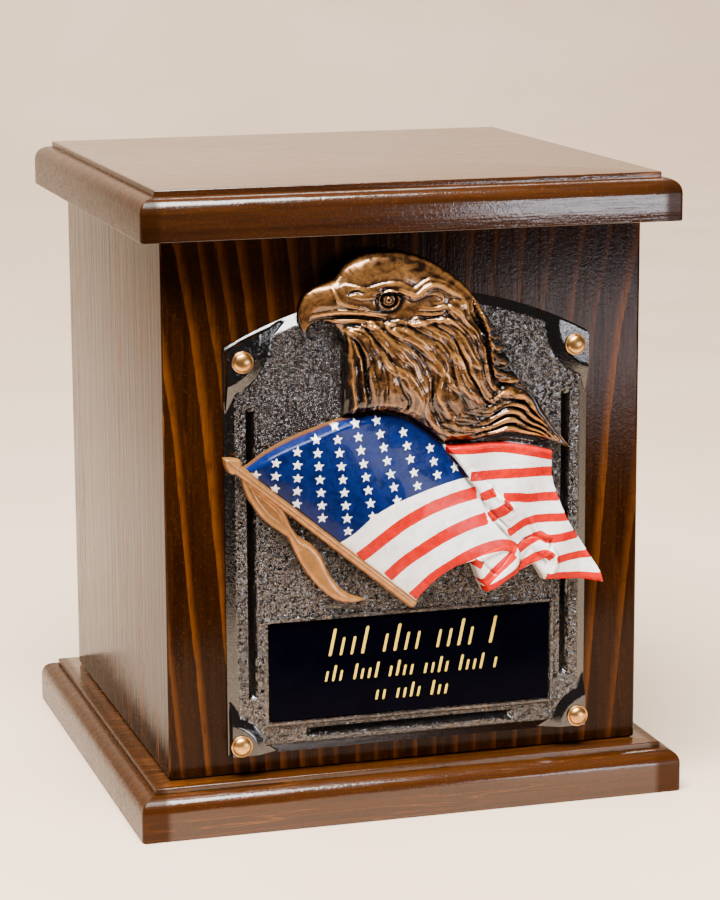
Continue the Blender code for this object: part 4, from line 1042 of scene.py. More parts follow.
def eagle_strands(points, waved):
    """Fine strands over the locks: layers of thin ridges of uneven height along the guides."""
    strands = np.zeros(len(points))
    rng = np.random.default_rng(5)
    for guides, across, share in STRAND_LAYERS:
        layer = np.zeros(len(points))
        for path, width in locks_between(guides, across):
            layer = np.maximum(layer, share * rng.uniform(0.5, 1.0)
                               * ridge(waved, path, width * 1.05))
        strands += layer
    return strands * (0.5 + 0.8 * cloud(points, 7.0, 26))


def eagle_height(points, outline):
    """Height of the eagle over its flat back: a domed body, locks, strands, beak, brow and eye.

    The locks and strands are ridges along a family of guides, read at points that a smooth
    cloud has shifted, so that they wave. Crests and grooves are added one by one over them.
    """
    x, y = points[:, 0], points[:, 1]
    edge = distance_to_path(points, outline, closed=True)
    fade = step_up(edge, 0, 4)
    near_fade = step_up(edge, 0, 1.2)
    feathered = 1 - step_up(y - 0.12 * np.abs(x - 10), 168, 173)
    shift = np.stack([cloud(points, 10.0, 21), cloud(points, 10.0, 22)], axis=1) - 0.5
    fine_shift = np.stack([cloud(points, 4.6, 23), cloud(points, 4.6, 24)], axis=1) - 0.5
    waved = points + LOCK_WAVE * shift
    height = eagle_body(points, edge)
    height += LOCK_RISE * (0.55 + 0.6 * cloud(points, 13.0, 25)) * eagle_locks(points, waved) * fade
    strands = eagle_strands(points, waved + STRAND_WAVE * fine_shift)
    height += drawn_size("strand_rise") * strands * near_fade
    crests = np.zeros(len(points))
    for crest in marked(points + 0.8 * fine_shift * feathered[:, None], EAGLE_CRESTS, 0.15):
        crests = np.maximum(crests, crest)
    height += crests * near_fade
    height += 1.1 * ridge(points, smooth_curve(EAGLE_BROW, 3), 5.2) * fade
    for groove in marked(points, EAGLE_GROOVES, 0.2):
        height -= groove * near_fade
    height += 0.35 * (cloud(points, 4.5, 27) - 0.5) * fade
    height += eye_height(eye_distance(points))
    # The tallest locks are eased down under the casting's depth, without a flat cut
    over = np.clip(height - EAGLE_DEPTH + 2.0, 0, None)
    eased = height - over + EASED_TOP * np.tanh(over / EASED_TOP)
    return np.maximum(eased, EAGLE_WALL * 0.8)


def eagle_paint(points):
    """How dark the wash is: round the eye, in specks on the crown, down the throat, low on the
    neck and at the nape."""
    x, y = points[:, 0], points[:, 1]
    away = eye_distance(points)
    socket = 1.1 * np.exp(-((away - 3.1) / 0.55) ** 2) + 0.9 * np.exp(-((away - 5.0) / 1.1) ** 2)
    throat = 0.8 * step_up(-x, 10, 26) * step_up(170 - y, 0, 8)
    low = 0.3 * step_up(150 - y, 0, 16)
    nape = step_up(x + 0.3 * (y - 150), 24, 32) * step_up(174 - y, 0, 6) * step_up(y, 142, 150)
    speck = step_up(cloud(points * (0.5, 1), 1.5, 31), 0.5, 0.95)
    crown = 0.6 * speck * step_up(y + 0.4 * x, 182, 192)
    pupil = 1.2 * (1 - step_up(away, 0.4, 1.0)) + 0.5 * np.exp(-((away - 1.7) / 0.25) ** 2)
    return {"wash": np.clip(socket + throat + low + nape + crown + pupil, 0, 2.5)}


def eye_height(away):
    """A ball in a socket: dished round it, with a lid's ring, an iris and a pupil, by radius."""
    socket = -1.6 * (1 - step_up(away, 3.0, 6.5))
    lid = 1.3 * np.exp(-((away - 3.9) / 0.5) ** 2)
    ball = 1.5 * rounded_edge(np.clip(2.8 - away, 0, None), 2.8)
    iris = -0.5 * np.exp(-((away - 1.5) / 0.3) ** 2)
    return socket + lid + ball + iris


def staff_axes():
    """The staff's own directions: along it from top to foot, and square to it."""
    along = np.subtract(STAFF_FOOT, STAFF_TOP)
    along /= np.hypot(*along)
    return along, np.array([-along[1], along[0]])


# The flag's folded edge, then its pleats and creases: path, width, and height or depth
FLAG_FOLD = ((12, 121.5), (17, 115), (22, 107), (27, 100.5), (30, 93), (34, 88), (38, 83.5),
             (43, 77))
FLAG_PLEATS = (
    (((24, 108), (31, 99), (39, 92)), 6.0, 1.3),
    (((30, 62), (38, 70), (45, 78)), 6.0, 1.3),
    (((55, 65), (57, 72), (50, 80)), 5.5, 1.3),
    (((31, 103), (34, 99.2), (40.5, 94)), 2.2, 1.0),
    (((48, 89.5), (51, 83), (56, 81)), 2.0, 0.9),
    (((50, 71), (55, 75.5), (57.8, 72.5), (57, 67.5), (53.8, 63.6)), 2.2, 1.1),
    (((24, 73.5), (29, 76), (36, 78), (41, 77)), 2.4, 0.8),
)
FLAG_CREASES = (
    (((32, 101.5), (36, 97), (41, 92)), 1.3, 0.9),
    (((31, 94), (35.5, 89), (40, 84.5)), 1.3, 0.9),
    (((42, 78), (46, 81), (51, 82)), 1.2, 0.6),
    (((26, 75), (29.5, 71), (33, 68)), 1.2, 0.7),
    (((56.5, 80.5), (55.5, 76.5), (50, 72)), 1.2, 0.7),
)


def flag_height(points, outline):
    """Height of the flag over its flat back: one long swell, a folded edge, waves, then pleats.

    The wall is thinner along the canton's upper edge, where the flag lies over the eagle.
    """
    edge = distance_to_path(points, outline, closed=True)
    canton_top, _ = flag_top()
    thin = 1 - step_up(distance_to_path(points, canton_top), 1, 7)
    _, square = staff_axes()
    across = (points - np.array(STAFF_TOP)) @ square
    swell = FLAG_WALL + 1.4 + (FLAG_CREST - FLAG_WALL - 1.4) * np.sin(
        np.pi * np.clip(across / FLAG_SWELL_WIDTH, 0, 1) ** 0.85) ** 0.8
    fold = smooth_curve(FLAG_FOLD, 4)
    fly_side = np.interp(points[:, 1], fold[::-1, 1], fold[::-1, 0])
    short = points[:, 0] - fly_side
    past = step_up(short, -0.35, 0.35)
    roll = 1.1 * np.exp(-np.clip(-short, 0, None) / 1.6)
    wave = (points[:, 0] - 0.35 * points[:, 1]) * 2 * np.pi / FLAG_WAVE
    waves = FLAG_FLY + np.sin(wave)
    height = (swell - roll) * (1 - past) + waves * past
    height += 0.35 * (cloud(points @ np.array([[0.9, -0.5], [0.5, 0.9]]), 7.0, 3) - 0.5)
    for pleat in marked(points, FLAG_PLEATS):
        height += pleat * step_up(edge, 0, 3)
    for crease in marked(points, FLAG_CREASES, 0.2):
        height -= crease * step_up(edge, 0, 2)
    wall = FLAG_WALL - 1.5 * thin
    return wall + (height - wall) * rounded_edge(edge, FLAG_ROUND + 2.2 * thin)


# Red bands: centre line and width
RED_BANDS = (
    (((-22.2, 78.3), (-13.5, 85.7), (-5.5, 91.3), (5.1, 96.3), (15.7, 99.4), (25.5, 101)), 4.9),
    (((-11, 69.8), (-3.4, 76.9), (10.4, 84.9), (21.1, 88.9), (29.5, 90.7)), 4.9),
    (((-0.8, 61), (6.5, 68.4), (15.7, 74), (22.1, 77), (29, 79), (35, 79.6), (39, 78.8),
      (41.5, 77)), 4.6),
    (((27.5, 99), (32.8, 101.1)), 3.8),
    (((31, 90.6), (39.2, 95.4)), 4.6),
    (((13.5, 119), (24, 118.7), (36, 118.3), (46.5, 116.7), (58.6, 113.6)), 4.0),
    (((22.8, 107.8), (31, 107.6), (42, 108), (50, 107.9), (58.6, 107.3)), 3.9),
    (((36.5, 98.6), (43, 98.2), (47.7, 97.4), (60.6, 97.4)), 3.7),
    (((38.6, 83.8), (43, 86.4), (47, 88), (51.9, 88.7), (64.4, 89)), 3.4),
    (((42.8, 77), (48.8, 80.6), (52, 82), (56.2, 80.3), (68.2, 81.7)), 3.6),
    (((27.5, 64.5), (33, 70), (40.5, 75.5)), 3.6),
    (((28.5, 61.7), (38, 66.4), (47, 71.5), (53.5, 74.6), (56.5, 73)), 3.6),
    (((58.3, 71.5), (65, 72.5), (74.5, 73)), 3.2),
    (((54.5, 64.8), (60, 64.6), (68, 64), (80, 62.9)), 3.8),
    (((23.4, 74), (27, 72)), 3.0),
)
CANTON_LOWER = ((-32, 83.4), (-30, 84.9), (-24.7, 88.6), (-18.3, 94.4), (-11.9, 98.2),
                (-5.5, 100.8), (5.1, 104), (15.7, 106.4), (22.4, 107.2))
CANTON_RIGHT = ((22.4, 107.2), (17.2, 114.6), (12.2, 121), (9, 140))
# Star columns: x at the height 112, height of the middle star, how many, and lean
STAR_COLUMNS = (
    (-63.9, 113.7, 1, 0.0), (-56.3, 113.2, 3, 0.0), (-47.9, 112.0, 5, 0.02),
    (-39.2, 111.0, 7, 0.09), (-30.2, 110.5, 9, 0.12), (-20.9, 113.5, 8, 0.17),
    (-10.7, 116.5, 7, 0.23), (-1.0, 116.4, 5, 0.23), (8.5, 114.6, 3, 0.23),
    (16.8, 111.5, 1, 0.23),
)
STAR_SPACING = 5.25
STAR_RADIUS = 2.3
STAR_WAIST = 0.39


def band_depth(points, path, width):
    """How deep each point lies inside a band with square ends; below nought outside it."""
    depth = np.full(len(points), -width)
    near, away, along = near_path(points, path, width)
    start = (path[0] - points[near]) @ (path[1] - path[0]) / math.dist(path[0], path[1])
    stop = (points[near] - path[-1]) @ (path[-1] - path[-2]) / math.dist(path[-1], path[-2])
    past = np.where(along <= 0, start, np.where(along >= 1, stop, -width))
    depth[near] = np.minimum(width / 2 - away, -past)
    return depth


def star_depth(points, centre, lean):
    """How deep each point lies inside a five-pointed star: its edge's radius less its own."""
    offset = points - centre
    away = np.hypot(*offset.T)
    near = np.flatnonzero(away < 2 * STAR_RADIUS)
    turn = np.arctan2(offset[near, 0], offset[near, 1]) - lean
    share = np.abs((turn / (2 * math.pi / 5) + 0.5) % 1 - 0.5) * 2 * math.pi / 5
    half = math.pi / 5
    inner = STAR_RADIUS * STAR_WAIST
    # Along the straight edge from a tip to a waist, the radius at each angle
    edge = (STAR_RADIUS * inner * math.sin(half)
            / (inner * np.sin(half - share) + STAR_RADIUS * np.sin(share)))
    depth = np.full(len(points), -STAR_RADIUS)
    depth[near] = (edge - away[near]) * 0.6
    return depth


def flag_paint(points):
    """Depths of each point inside the red bands, the canton, the stars and the upper edging."""
    band = np.full(len(points), OUTSIDE)
    for path, width in RED_BANDS:
        curve = smooth_curve(path, 4) if len(path) > 2 else np.array(path, dtype=float)
        band = np.maximum(band, band_depth(points, curve, width))
    corner = np.array([(-90, 150), (-90, 83.4)])
    canton = np.vstack([smooth_curve(CANTON_LOWER, 4), smooth_curve(CANTON_RIGHT, 4), corner])
    away = distance_to_path(points, canton, closed=True)
    star = np.full(len(points), OUTSIDE)
    for x, middle, count, lean in STAR_COLUMNS:
        for i in range(count):
            y = middle + (i - (count - 1) / 2) * STAR_SPACING
            centre = np.array([x + lean * (112 - y), y])
            star = np.maximum(star, star_depth(points, centre, 0.12 - lean))
    upper, _ = flag_top()
    edging = 0.3 - distance_to_path(points, upper)
    return {"band": band, "canton": np.where(inside(points, canton), away, -away), "star": star,
            "edging": edging}


def ribbon_outline():
    """A leaf-shaped loop beside the staff, a narrow twist, and a tail that ends in a point."""
    leaf = smooth_curve([(-69.5, 114), (-67.5, 107), (-64.8, 101.5), (-60, 95), (-54, 90.2),
                         (-50.5, 87.6)], 2)
    under = smooth_curve([(-50.5, 87.6), (-47, 80), (-43.5, 73.5), (-38, 66.5), (-32, 61.5),
                          (-25, 59.6), (-19, 60.6)], 2)
    over = smooth_curve([(-19, 60.6), (-26, 63.2), (-31, 67.5), (-34.5, 73), (-37, 79),
                         (-41, 84.3), (-46.5, 88)], 2)
    inner = smooth_curve([(-46.5, 88), (-49, 91.5), (-50.6, 95.5), (-53, 100.2),
                          (-60, 106.6), (-68.5, 113.8)], 2)
    return joined(leaf, under, over, inner)


def ribbon_height(points, outline):
    """A leaf with raised rims and a hollow middle, a raised twist, and a smooth rounded tail."""
    edge = distance_to_path(points, outline, closed=True)
    leaf = step_up(points[:, 1], 86, 92)
    rim = np.exp(-((edge - 0.9) / 0.7) ** 2)
    hollow = step_up(edge, 1.0, 3.0)
    height = RIBBON_THICKNESS * (0.62 + 0.38 * rounded_edge(edge, 2.6))
    height += leaf * (0.5 * rim - 1.3 * hollow)
    twist = smooth_curve([(-52, 91), (-48.5, 88), (-46, 84)], 4)
    height += 0.4 * ridge(points, twist, 3.4)
    return np.clip(height, 1.4, RIBBON_THICKNESS + 0.5)


def finial_outline():
    """A spade-shaped head on the staff's end: a point and two round lobes."""
    along, square = staff_axes()
    top = np.array(STAFF_TOP)
    shape = ((-1.0, 0.0), (-0.62, 0.3), (-0.24, 0.52), (0.0, 0.42), (0.06, 0.2),
             (0.06, -0.2), (0.0, -0.42), (-0.24, -0.5), (-0.62, -0.34))
    return np.array([top + along * FINIAL_LENGTH * a + square * FINIAL_WIDTH * b
                     for a, b in shape])


def finial_height(points, outline):
    """Highest along the staff's line, with rounded lobes beside it."""
    _, square = staff_axes()
    edge = distance_to_path(points, outline, closed=True)
    away = np.abs((points - np.array(STAFF_TOP)) @ square) / (FINIAL_WIDTH / 2)
    level = STAFF_OUT + STAFF_RADIUS * (1 - 0.5 * np.clip(away, 0, 1))
    return (level - 1.2) + 1.2 * rounded_edge(edge, 1.3)


def blurred(field, weight, reach):
    """Mean over a square window of a field on the grid, counting only the kept points."""
    def window(values):
        """Sum over the window round each point, from the running sums' four corners."""
        sums = np.pad(values, reach + 1).cumsum(axis=0).cumsum(axis=1)
        wide = 2 * reach + 1
        return (sums[wide:, wide:] - sums[:-wide, wide:] - sums[wide:, :-wide]
                + sums[:-wide, :-wide])[:values.shape[0], :values.shape[1]]
    return window(field * weight) / np.maximum(window(weight), 1e-9)


def relief_piece(name, outline, height_of, spacing, back, paint_of=None, standing=1.0):
    """A closed relief: a grid cut to the outline, raised by height_of, over a flat back.

    The cells whose middles lie inside the outline are kept, the points round their edge are
    drawn onto the outline, and the points next to those are evened out. "standing" is how far
    a point stands out of the mean of the ground round it, about a half on even ground.
    """
    low, high = outline.min(axis=0) - spacing, outline.max(axis=0) + spacing
    xs = np.arange(low[0], high[0] + spacing, spacing)
    ys = np.arange(low[1], high[1] + spacing, spacing)
    grid = np.stack(np.meshgrid(xs, ys), axis=-1)
    middles = (grid[:-1, :-1] + grid[1:, 1:]) / 2
    kept = inside(middles.reshape(-1, 2), outline).reshape(middles.shape[:2])
    a, b, c, d = kept[:-1, :-1], kept[:-1, 1:], kept[1:, :-1], kept[1:, 1:]
    pinch = (a & d & ~b & ~c) | (b & c & ~a & ~d)
    for part in (a, b, c, d):
        part |= pinch
    beside = np.zeros(grid.shape[:2], dtype=int)
    for rows in (slice(0, -1), slice(1, None)):
        for columns in (slice(0, -1), slice(1, None)):
            beside[rows, columns] += kept
    used = beside > 0
    rim = used & (beside < 4)
    grid[rim] = nearest_on(grid[rim], outline)
    spread = rim.copy()
    for _ in range(EVENED_CELLS):
        spread[1:] |= spread[:-1].copy()
        spread[:-1] |= spread[1:].copy()
        spread[:, 1:] |= spread[:, :-1].copy()
        spread[:, :-1] |= spread[:, 1:].copy()
    close = (beside == 4) & spread
    for _ in range(EVENED_TIMES):
        mean = grid.copy()
        mean[1:-1, 1:-1] = (grid[:-2, 1:-1] + grid[2:, 1:-1] + grid[1:-1, :-2]
                            + grid[1:-1, 2:]) / 4
        grid[close] = mean[close]
    flat = grid[used]
    heights = height_of(flat, outline)
    level = np.zeros(grid.shape[:2])
    level[used] = heights
    mean = blurred(level, used.astype(float), max(2, round(GROUND_REACH / spacing)))
    stand = np.clip(0.5 + (level - mean)[used] / (2 * standing), 0, 1)
    number = np.full(grid.shape[:2], -1)
    number[used] = np.arange(used.sum())
    corners = grid_corners(number)
    quads = corners[kept]
    total = used.sum()
    walls = []
    outside = np.pad(~kept, 1, constant_values=True)
    sides = ((outside[:-2, 1:-1], 0, 1), (outside[1:-1, 2:], 1, 2),
             (outside[2:, 1:-1], 2, 3), (outside[1:-1, :-2], 3, 0))
    for open_side, start, stop in sides:
        cells = kept & open_side
        p, q = corners[cells, start], corners[cells, stop]
        walls.append(np.stack([p, p + total, q + total, q], axis=1))
    rear = quads[:, ::-1] + total
    front_points = sheet_place(flat[:, 0], flat[:, 1], heights + back)
    back_points = sheet_place(flat[:, 0], flat[:, 1], np.full(total, back))
    attributes = {"standing": np.concatenate([stand, stand])}
    if paint_of:
        attributes.update({k: np.concatenate([v, v]) for k, v in paint_of(flat).items()})
    return mesh_piece(name, np.vstack([front_points, back_points]),
                      np.vstack([quads, *walls, rear]), attributes=attributes, sharp=60.0)


def spaced(marks, longest):
    """Grid lines through every mark, with even ones between, no further apart than longest."""
    lines = [np.array([marks[0]])]
    for a, b in zip(marks, marks[1:]):
        count = max(1, math.ceil((b - a) / longest))
        lines.append(a + (b - a) * (np.arange(count) + 1) / count)
    return np.concatenate(lines)


def panel_levels(x, y):
    """Height of the cast panel over the wood, and where it is plain: rim, pads, recess, slots.

    A slope rises from the edge to the field. The pads, frame and recess take its place where
    they lie, the slots are V-shaped cuts, and the grain stands on what isn't plain or framed.
    """
    inset = np.minimum(np.minimum(PANEL_HALF - np.abs(x), y),
                       ARCH_RADIUS - np.hypot(x, y - (PANEL_PEAK - ARCH_RADIUS)))
    level = PANEL_EDGE + (PANEL_FIELD - PANEL_EDGE) * np.clip(inset / RIM_WIDTH, 0, 1)
    plain = 1 - step_up(inset, RIM_WIDTH - 0.4, RIM_WIDTH + 0.4)
    places = np.stack([x.ravel(), y.ravel()], axis=1)
    worms = 1 - np.abs(2 * cloud(places, 1.5, 11) - 1) * 2
    worms = (worms + 0.6 * (1 - np.abs(2 * cloud(places, 2.6, 12) - 1) * 2)).reshape(x.shape)
    grain = drawn_size("grain_rise") * worms
    for centre_x, centre_y, top, slope in PADS:
        away = np.hypot(np.abs(x) - centre_x, y - centre_y)
        pad = PANEL_FIELD + PAD_RISE - PAD_RISE * np.clip(away - top, 0, None) / slope
        on_pad = (inset > PAD_EDGE_INSET - 0.01) & (pad > level)
        level = np.where(on_pad, pad, level)
        plain = np.maximum(plain, on_pad)
    beyond = np.maximum(np.abs(x) - NAME_HALF[0], np.abs(y - NAME_UP) - NAME_HALF[1])
    raised = PANEL_FIELD + FRAME_RISE * np.clip((FRAME_WIDTH - beyond) / FRAME_RISE, 0.0, 1)
    level = np.where(beyond < FRAME_WIDTH, raised, level)
    framed = beyond < FRAME_WIDTH
    level = np.where(beyond < RECESS_CLEARANCE, PANEL_FIELD - RECESS_DEPTH, level)
    plain = np.maximum(plain, beyond < RECESS_CLEARANCE)
    across, foot, head = SIDE_SLOT
    side = np.maximum(np.abs(np.abs(x) - across), np.maximum(foot - y, y - head) + SLOT_HALF)
    up, reach = LOW_SLOT
    low = np.maximum(np.abs(y - up), np.abs(x) - reach + SLOT_HALF)
    share = np.clip(1 - np.minimum(side, low) / SLOT_HALF, 0, 1)
    level -= SLOT_DEPTH * share
    plain = np.maximum(plain, step_up(share, 0, 0.1))
    return level + grain * (1 - np.maximum(plain, framed)), plain


def panel_piece():
    """The cast panel: one grid whose upper rows bend with the arch, over a flat back."""
    longest = drawn_size("panel_grid")
    recess = np.add(NAME_HALF, RECESS_CLEARANCE)
    framed = np.add(NAME_HALF, FRAME_WIDTH)
    right = [recess[0] - CRACK, recess[0], framed[0] - FRAME_RISE, framed[0],
             SIDE_SLOT[0] - SLOT_HALF, SIDE_SLOT[0], SIDE_SLOT[0] + SLOT_HALF,
             PANEL_HALF - RIM_WIDTH, PANEL_HALF - PAD_EDGE_INSET - CRACK,
             PANEL_HALF - PAD_EDGE_INSET, PANEL_HALF]
    xs = spaced([-v for v in right[::-1]] + [0.0] + right, longest)
    vs = spaced([0.0, PAD_EDGE_INSET, PAD_EDGE_INSET + CRACK, RIM_WIDTH, LOW_SLOT[0] - SLOT_HALF,
                 LOW_SLOT[0], LOW_SLOT[0] + SLOT_HALF, NAME_UP - framed[1],
                 NAME_UP - framed[1] + FRAME_RISE, NAME_UP - recess[1],
                 NAME_UP - recess[1] + CRACK, NAME_UP + recess[1] - CRACK, NAME_UP + recess[1],
                 NAME_UP + framed[1] - FRAME_RISE, NAME_UP + framed[1], BENT_ROWS_FROM,
                 PANEL_PEAK], longest)
    x, v = np.meshgrid(xs, vs)
    top = PANEL_PEAK - ARCH_RADIUS + np.sqrt(ARCH_RADIUS**2 - x**2)
    stretch = (top - BENT_ROWS_FROM) / (PANEL_PEAK - BENT_ROWS_FROM)
    y = np.where(v > BENT_ROWS_FROM, BENT_ROWS_FROM + (v - BENT_ROWS_FROM) * stretch, v)
    level, plain = panel_levels(x, y)
    mean = blurred(level, np.ones_like(level), 3)
    stand = np.clip(0.5 + (level - mean) / 0.8, 0, 1)
    index = np.arange(x.size).reshape(x.shape)
    quads = grid_corners(index).reshape(-1, 4)
    loop = np.concatenate([index[0, :-1], index[:-1, -1], index[-1, :0:-1], index[:0:-1, 0]])
    fresh = np.arange(len(loop)) + x.size
    after, fresh_after = np.roll(loop, -1), np.roll(fresh, -1)
    walls = np.stack([loop, fresh, fresh_after, after], axis=1)
    front = sheet_place(x.ravel(), y.ravel(), level.ravel())
    back = sheet_place(x.ravel()[loop], y.ravel()[loop], np.full(len(loop), PANEL_BACK))
    attributes = {"standing": np.concatenate([stand.ravel(), np.full(len(loop), 0.5)]),
                  "plain": np.concatenate([plain.ravel(), np.ones(len(loop))])}
    return mesh_piece("panel_cast", np.vstack([front, back]), np.vstack([quads, walls]),
                      (fresh[::-1],), attributes, 45.0)


def stroke_places():
    """Feet and heights of the inscription's strokes, in rows of uneven, wordless marks."""
    for row, (half, foot, height, pitch) in enumerate(STROKE_ROWS):
        count = int(2 * half / pitch)
        for i in range(count):
            # Every fifth place is left open, like the space between words
            if (i + row) % 5 == 4:
                continue
            tall = height * (1.0 if (i + 2 * row) % 3 == 0 else 0.66)
            yield (i - (count - 1) / 2) * 2 * half / count, NAME_UP + foot, tall


def strokes_piece():
    """Gold strokes set in the plate's face: slanted bars with round ends and a low crown."""
    face = (FRONT_FACE - PLATE_LOW.y) / UNIT
    proud = drawn_size("stroke_proud")
    turn = np.linspace(0, 2 * math.pi, 16, endpoint=False)
    points, quads, caps = [], [], []
    for x, y, tall in stroke_places():
        half = STROKE_WIDTH / 2 * (1 + 0.05 * tall)
        up = np.where(np.sin(turn) > 0, tall - half, half) + half * np.sin(turn)
        for share, level in ((1.0, face - 0.15), (1.0, face + 0.3 * proud),
                             (0.7, face + proud)):
            rise = tall / 2 + (up - tall / 2) * (1 - (1 - share) * STROKE_WIDTH / tall)
            points.append(sheet_place(x + half * share * np.cos(turn) + STROKE_SLANT * rise,
                                      y + rise, np.full(16, level)))
        rings = np.arange(48).reshape(3, 16) + 16 * (len(points) - 3)
        quads.append(grid_corners(np.hstack([rings, rings[:, :1]])).reshape(-1, 4))
        caps += [rings[0][::-1], rings[2]]
    return mesh_piece("inscription_strokes", np.vstack(points), np.vstack(quads), caps)


def tack_piece(name, x, y):
    """A turned tack: pointed shank, flange with a rounded rim, and a dome, by radius and level."""
    turn = np.linspace(0, 2 * math.pi, 48, endpoint=False)
    dome = np.linspace(math.pi / 2, 0.04, 14)
    rim = np.linspace(-math.pi / 2, math.pi / 2, 7)
    profile = [(0.1, -TACK_LENGTH - TACK_SHANK), (TACK_SHANK, -TACK_LENGTH), (TACK_SHANK, 0.0)]
    profile += [(TACK_FLANGE - 0.25 + 0.25 * math.cos(a), 0.25 + 0.25 * math.sin(a)) for a in rim]
    profile += [(TACK_RADIUS + 0.12, 0.42)]
    profile += [(TACK_RADIUS * math.sin(a), TACK_RING + TACK_DOME * math.cos(a)) for a in dome]
    rings = [sheet_place(x + r * np.cos(turn), y + r * np.sin(turn), np.full(48, TACK_SEAT + out))
             for r, out in profile]
    return loft(name + "_turned", rings)


def staff_piece():
    """The staff: a round rod carried along its line, with an eased foot."""
    along, square = staff_axes()
    length = math.dist(STAFF_TOP, STAFF_FOOT)
    turn = np.linspace(0, 2 * math.pi, 32, endpoint=False)
    ends = [(-0.4, 1.0), (length * 0.33, 1.0), (length * 0.66, 1.0), (length - 1.0, 1.0),
            (length - 0.6, 0.96), (length - 0.25, 0.85), (length, 0.55)]
    rings = []
    for run, share in ends:
        centre = np.array(STAFF_TOP) + along * run
        reach = STAFF_RADIUS * share
        rings.append(sheet_place(centre[0] + reach * np.cos(turn) * square[0],
                                 centre[1] + reach * np.cos(turn) * square[1],
                                 RELIEF_BACK + STAFF_OUT + reach * np.sin(turn)))
    return loft("flag_staff", rings)


class URNBOX_OT_walnut_boards(bpy.types.Operator):
    """Make the base, the four mitred walls and the moulded lid in stained walnut."""
    bl_idname = "urnbox.walnut_boards"
    bl_label = "Walnut Boards"

    def execute(self, context):
        colours = context.scene.urn_box_colours
        flat = walnut_finish("walnut_lid_and_base", colours, along_x=True, ior=1.4, gloss=0.75,
                             pale=0.6)
        front = walnut_finish("walnut_front", colours, streaks=FRONT_STREAKS, gloss=0.13)
        walls = walnut_finish("walnut_walls", colours, gloss=0.2, pale=1.0)
        step_inset = 2 * (WALL + LOCATING_CLEARANCE)
        underside = LID_HIGH.z - LID_THICKNESS
        step = [board_ring(BODY_WIDTH - step_inset, BODY_DEPTH - step_inset, 0.0, level)
                for level in (underside - LOCATING_STEP, underside)]
        settle(moulded_board("base_moulded", BASE_LOW, BASE_HIGH, BASE_THICKNESS),
               flat, "stained_wood", "base_board")
        settle(moulded_board("lid_moulded", LID_LOW, LID_HIGH, LID_THICKNESS, step),
               flat, "stained_wood", "lid_board")
        for side, length, across, turn, finish in (
                ("front", BODY_WIDTH, BODY_DEPTH, 0, front),
                ("right", BODY_DEPTH, BODY_WIDTH, 90, walls),
                ("back", BODY_WIDTH, BODY_DEPTH, 180, walls),
                ("left", BODY_DEPTH, BODY_WIDTH, 270, walls)):
            settle(wall_board(f"wall_{side}", length, across, turn), finish, "stained_wood",
                   f"{side}_board")
        return {"FINISHED"}


class URNBOX_OT_cast_panel(bpy.types.Operator):
    """Make the arched cast panel with its rim, pads, frame, recess and slots."""
    bl_idname = "urnbox.cast_panel"
    bl_label = "Cast Panel"

    def execute(self, context):
        settle(panel_piece(), pewter_finish(context.scene.urn_box_colours), "panel_cast",
               "plaque_panel")
        return {"FINISHED"}


class URNBOX_OT_nameplate(bpy.types.Operator):
    """Finish the plate in gloss black and set the gold strokes in its face."""
    bl_idname = "urnbox.nameplate"
    bl_label = "Nameplate"

    def execute(self, context):
        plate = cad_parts["nameplate"]
        plate.data.materials.clear()
        plate.data.materials.append(plate_finish())
        settle(strokes_piece(), stroke_finish(context.scene.urn_box_colours), "black_plate")
        return {"FINISHED"}


class URNBOX_OT_eagle(bpy.types.Operator):
    """Carve the eagle's head and neck."""
    bl_idname = "urnbox.eagle"
    bl_label = "Eagle"

    def execute(self, context):
        eagle = relief_piece("eagle_cast", eagle_outline(), eagle_height,
                             drawn_size("relief_grid"), RELIEF_BACK, eagle_paint, 1.1)
        settle(eagle, bronze_finish(context.scene.urn_box_colours), "eagle_bronze", "eagle")
        return {"FINISHED"}


class URNBOX_OT_flag(bpy.types.Operator):
    """Carve and enamel the flag."""
    bl_idname = "urnbox.flag"
    bl_label = "Flag"

    def execute(self, context):
        flag = relief_piece("flag_enamelled", flag_outline(), flag_height,
                            FLAG_GRID * drawn_size("relief_grid"), RELIEF_BACK, flag_paint, 1.1)
        settle(flag, enamel_finish(context.scene.urn_box_colours), "flag_enamel", "flag")
        return {"FINISHED"}


class URNBOX_OT_staff_and_ribbon(bpy.types.Operator):
    """Make the flag's staff, its spade-shaped finial and its ribbon in tan gold."""
    bl_idname = "urnbox.staff_and_ribbon"
    bl_label = "Staff and Ribbon"

    def execute(self, context):
        spacing = drawn_size("relief_grid")
        gold = satin_metal("tan_gold", context.scene.urn_box_colours.staff_gold, 0.45, 0.30)
        settle(staff_piece(), gold, "flag_enamel", "flag")
        settle(relief_piece("flag_finial", finial_outline(), finial_height, spacing,
                            RELIEF_BACK + 0.2), gold, "flag_enamel", "flag")
        settle(relief_piece("flag_ribbon", ribbon_outline(), ribbon_height, spacing,
                            RELIEF_BACK + 0.1), gold, "flag_enamel", "flag")
        return {"FINISHED"}


class URNBOX_OT_tacks(bpy.types.Operator):
    """Turn the four domed brass tacks."""
    bl_idname = "urnbox.tacks"
    bl_label = "Tacks"

    def execute(self, context):
        brass = satin_metal("satin_brass", context.scene.urn_box_colours.tack_brass, 1.0, 0.28)
        for name, (x, y) in TACKS.items():
            settle(tack_piece(name, x, y), brass, "tack_brass", name)
        return {"FINISHED"}


def soft_light(name, place, aim, width, height, power, colour):
    """A rectangular soft box at a place, facing the point that it aims at."""
    data = bpy.data.lights.new(name, "AREA")
    data.shape = "RECTANGLE"
    data.size = width
    data.size_y = height
    data.energy = power
    data.color = colour
    obj = bpy.data.objects.new(name, data)
    bpy.context.scene.collection.objects.link(obj)
    obj.location = place
    obj.rotation_euler = (Vector(aim) - Vector(place)).to_track_quat("-Z", "Y").to_euler()


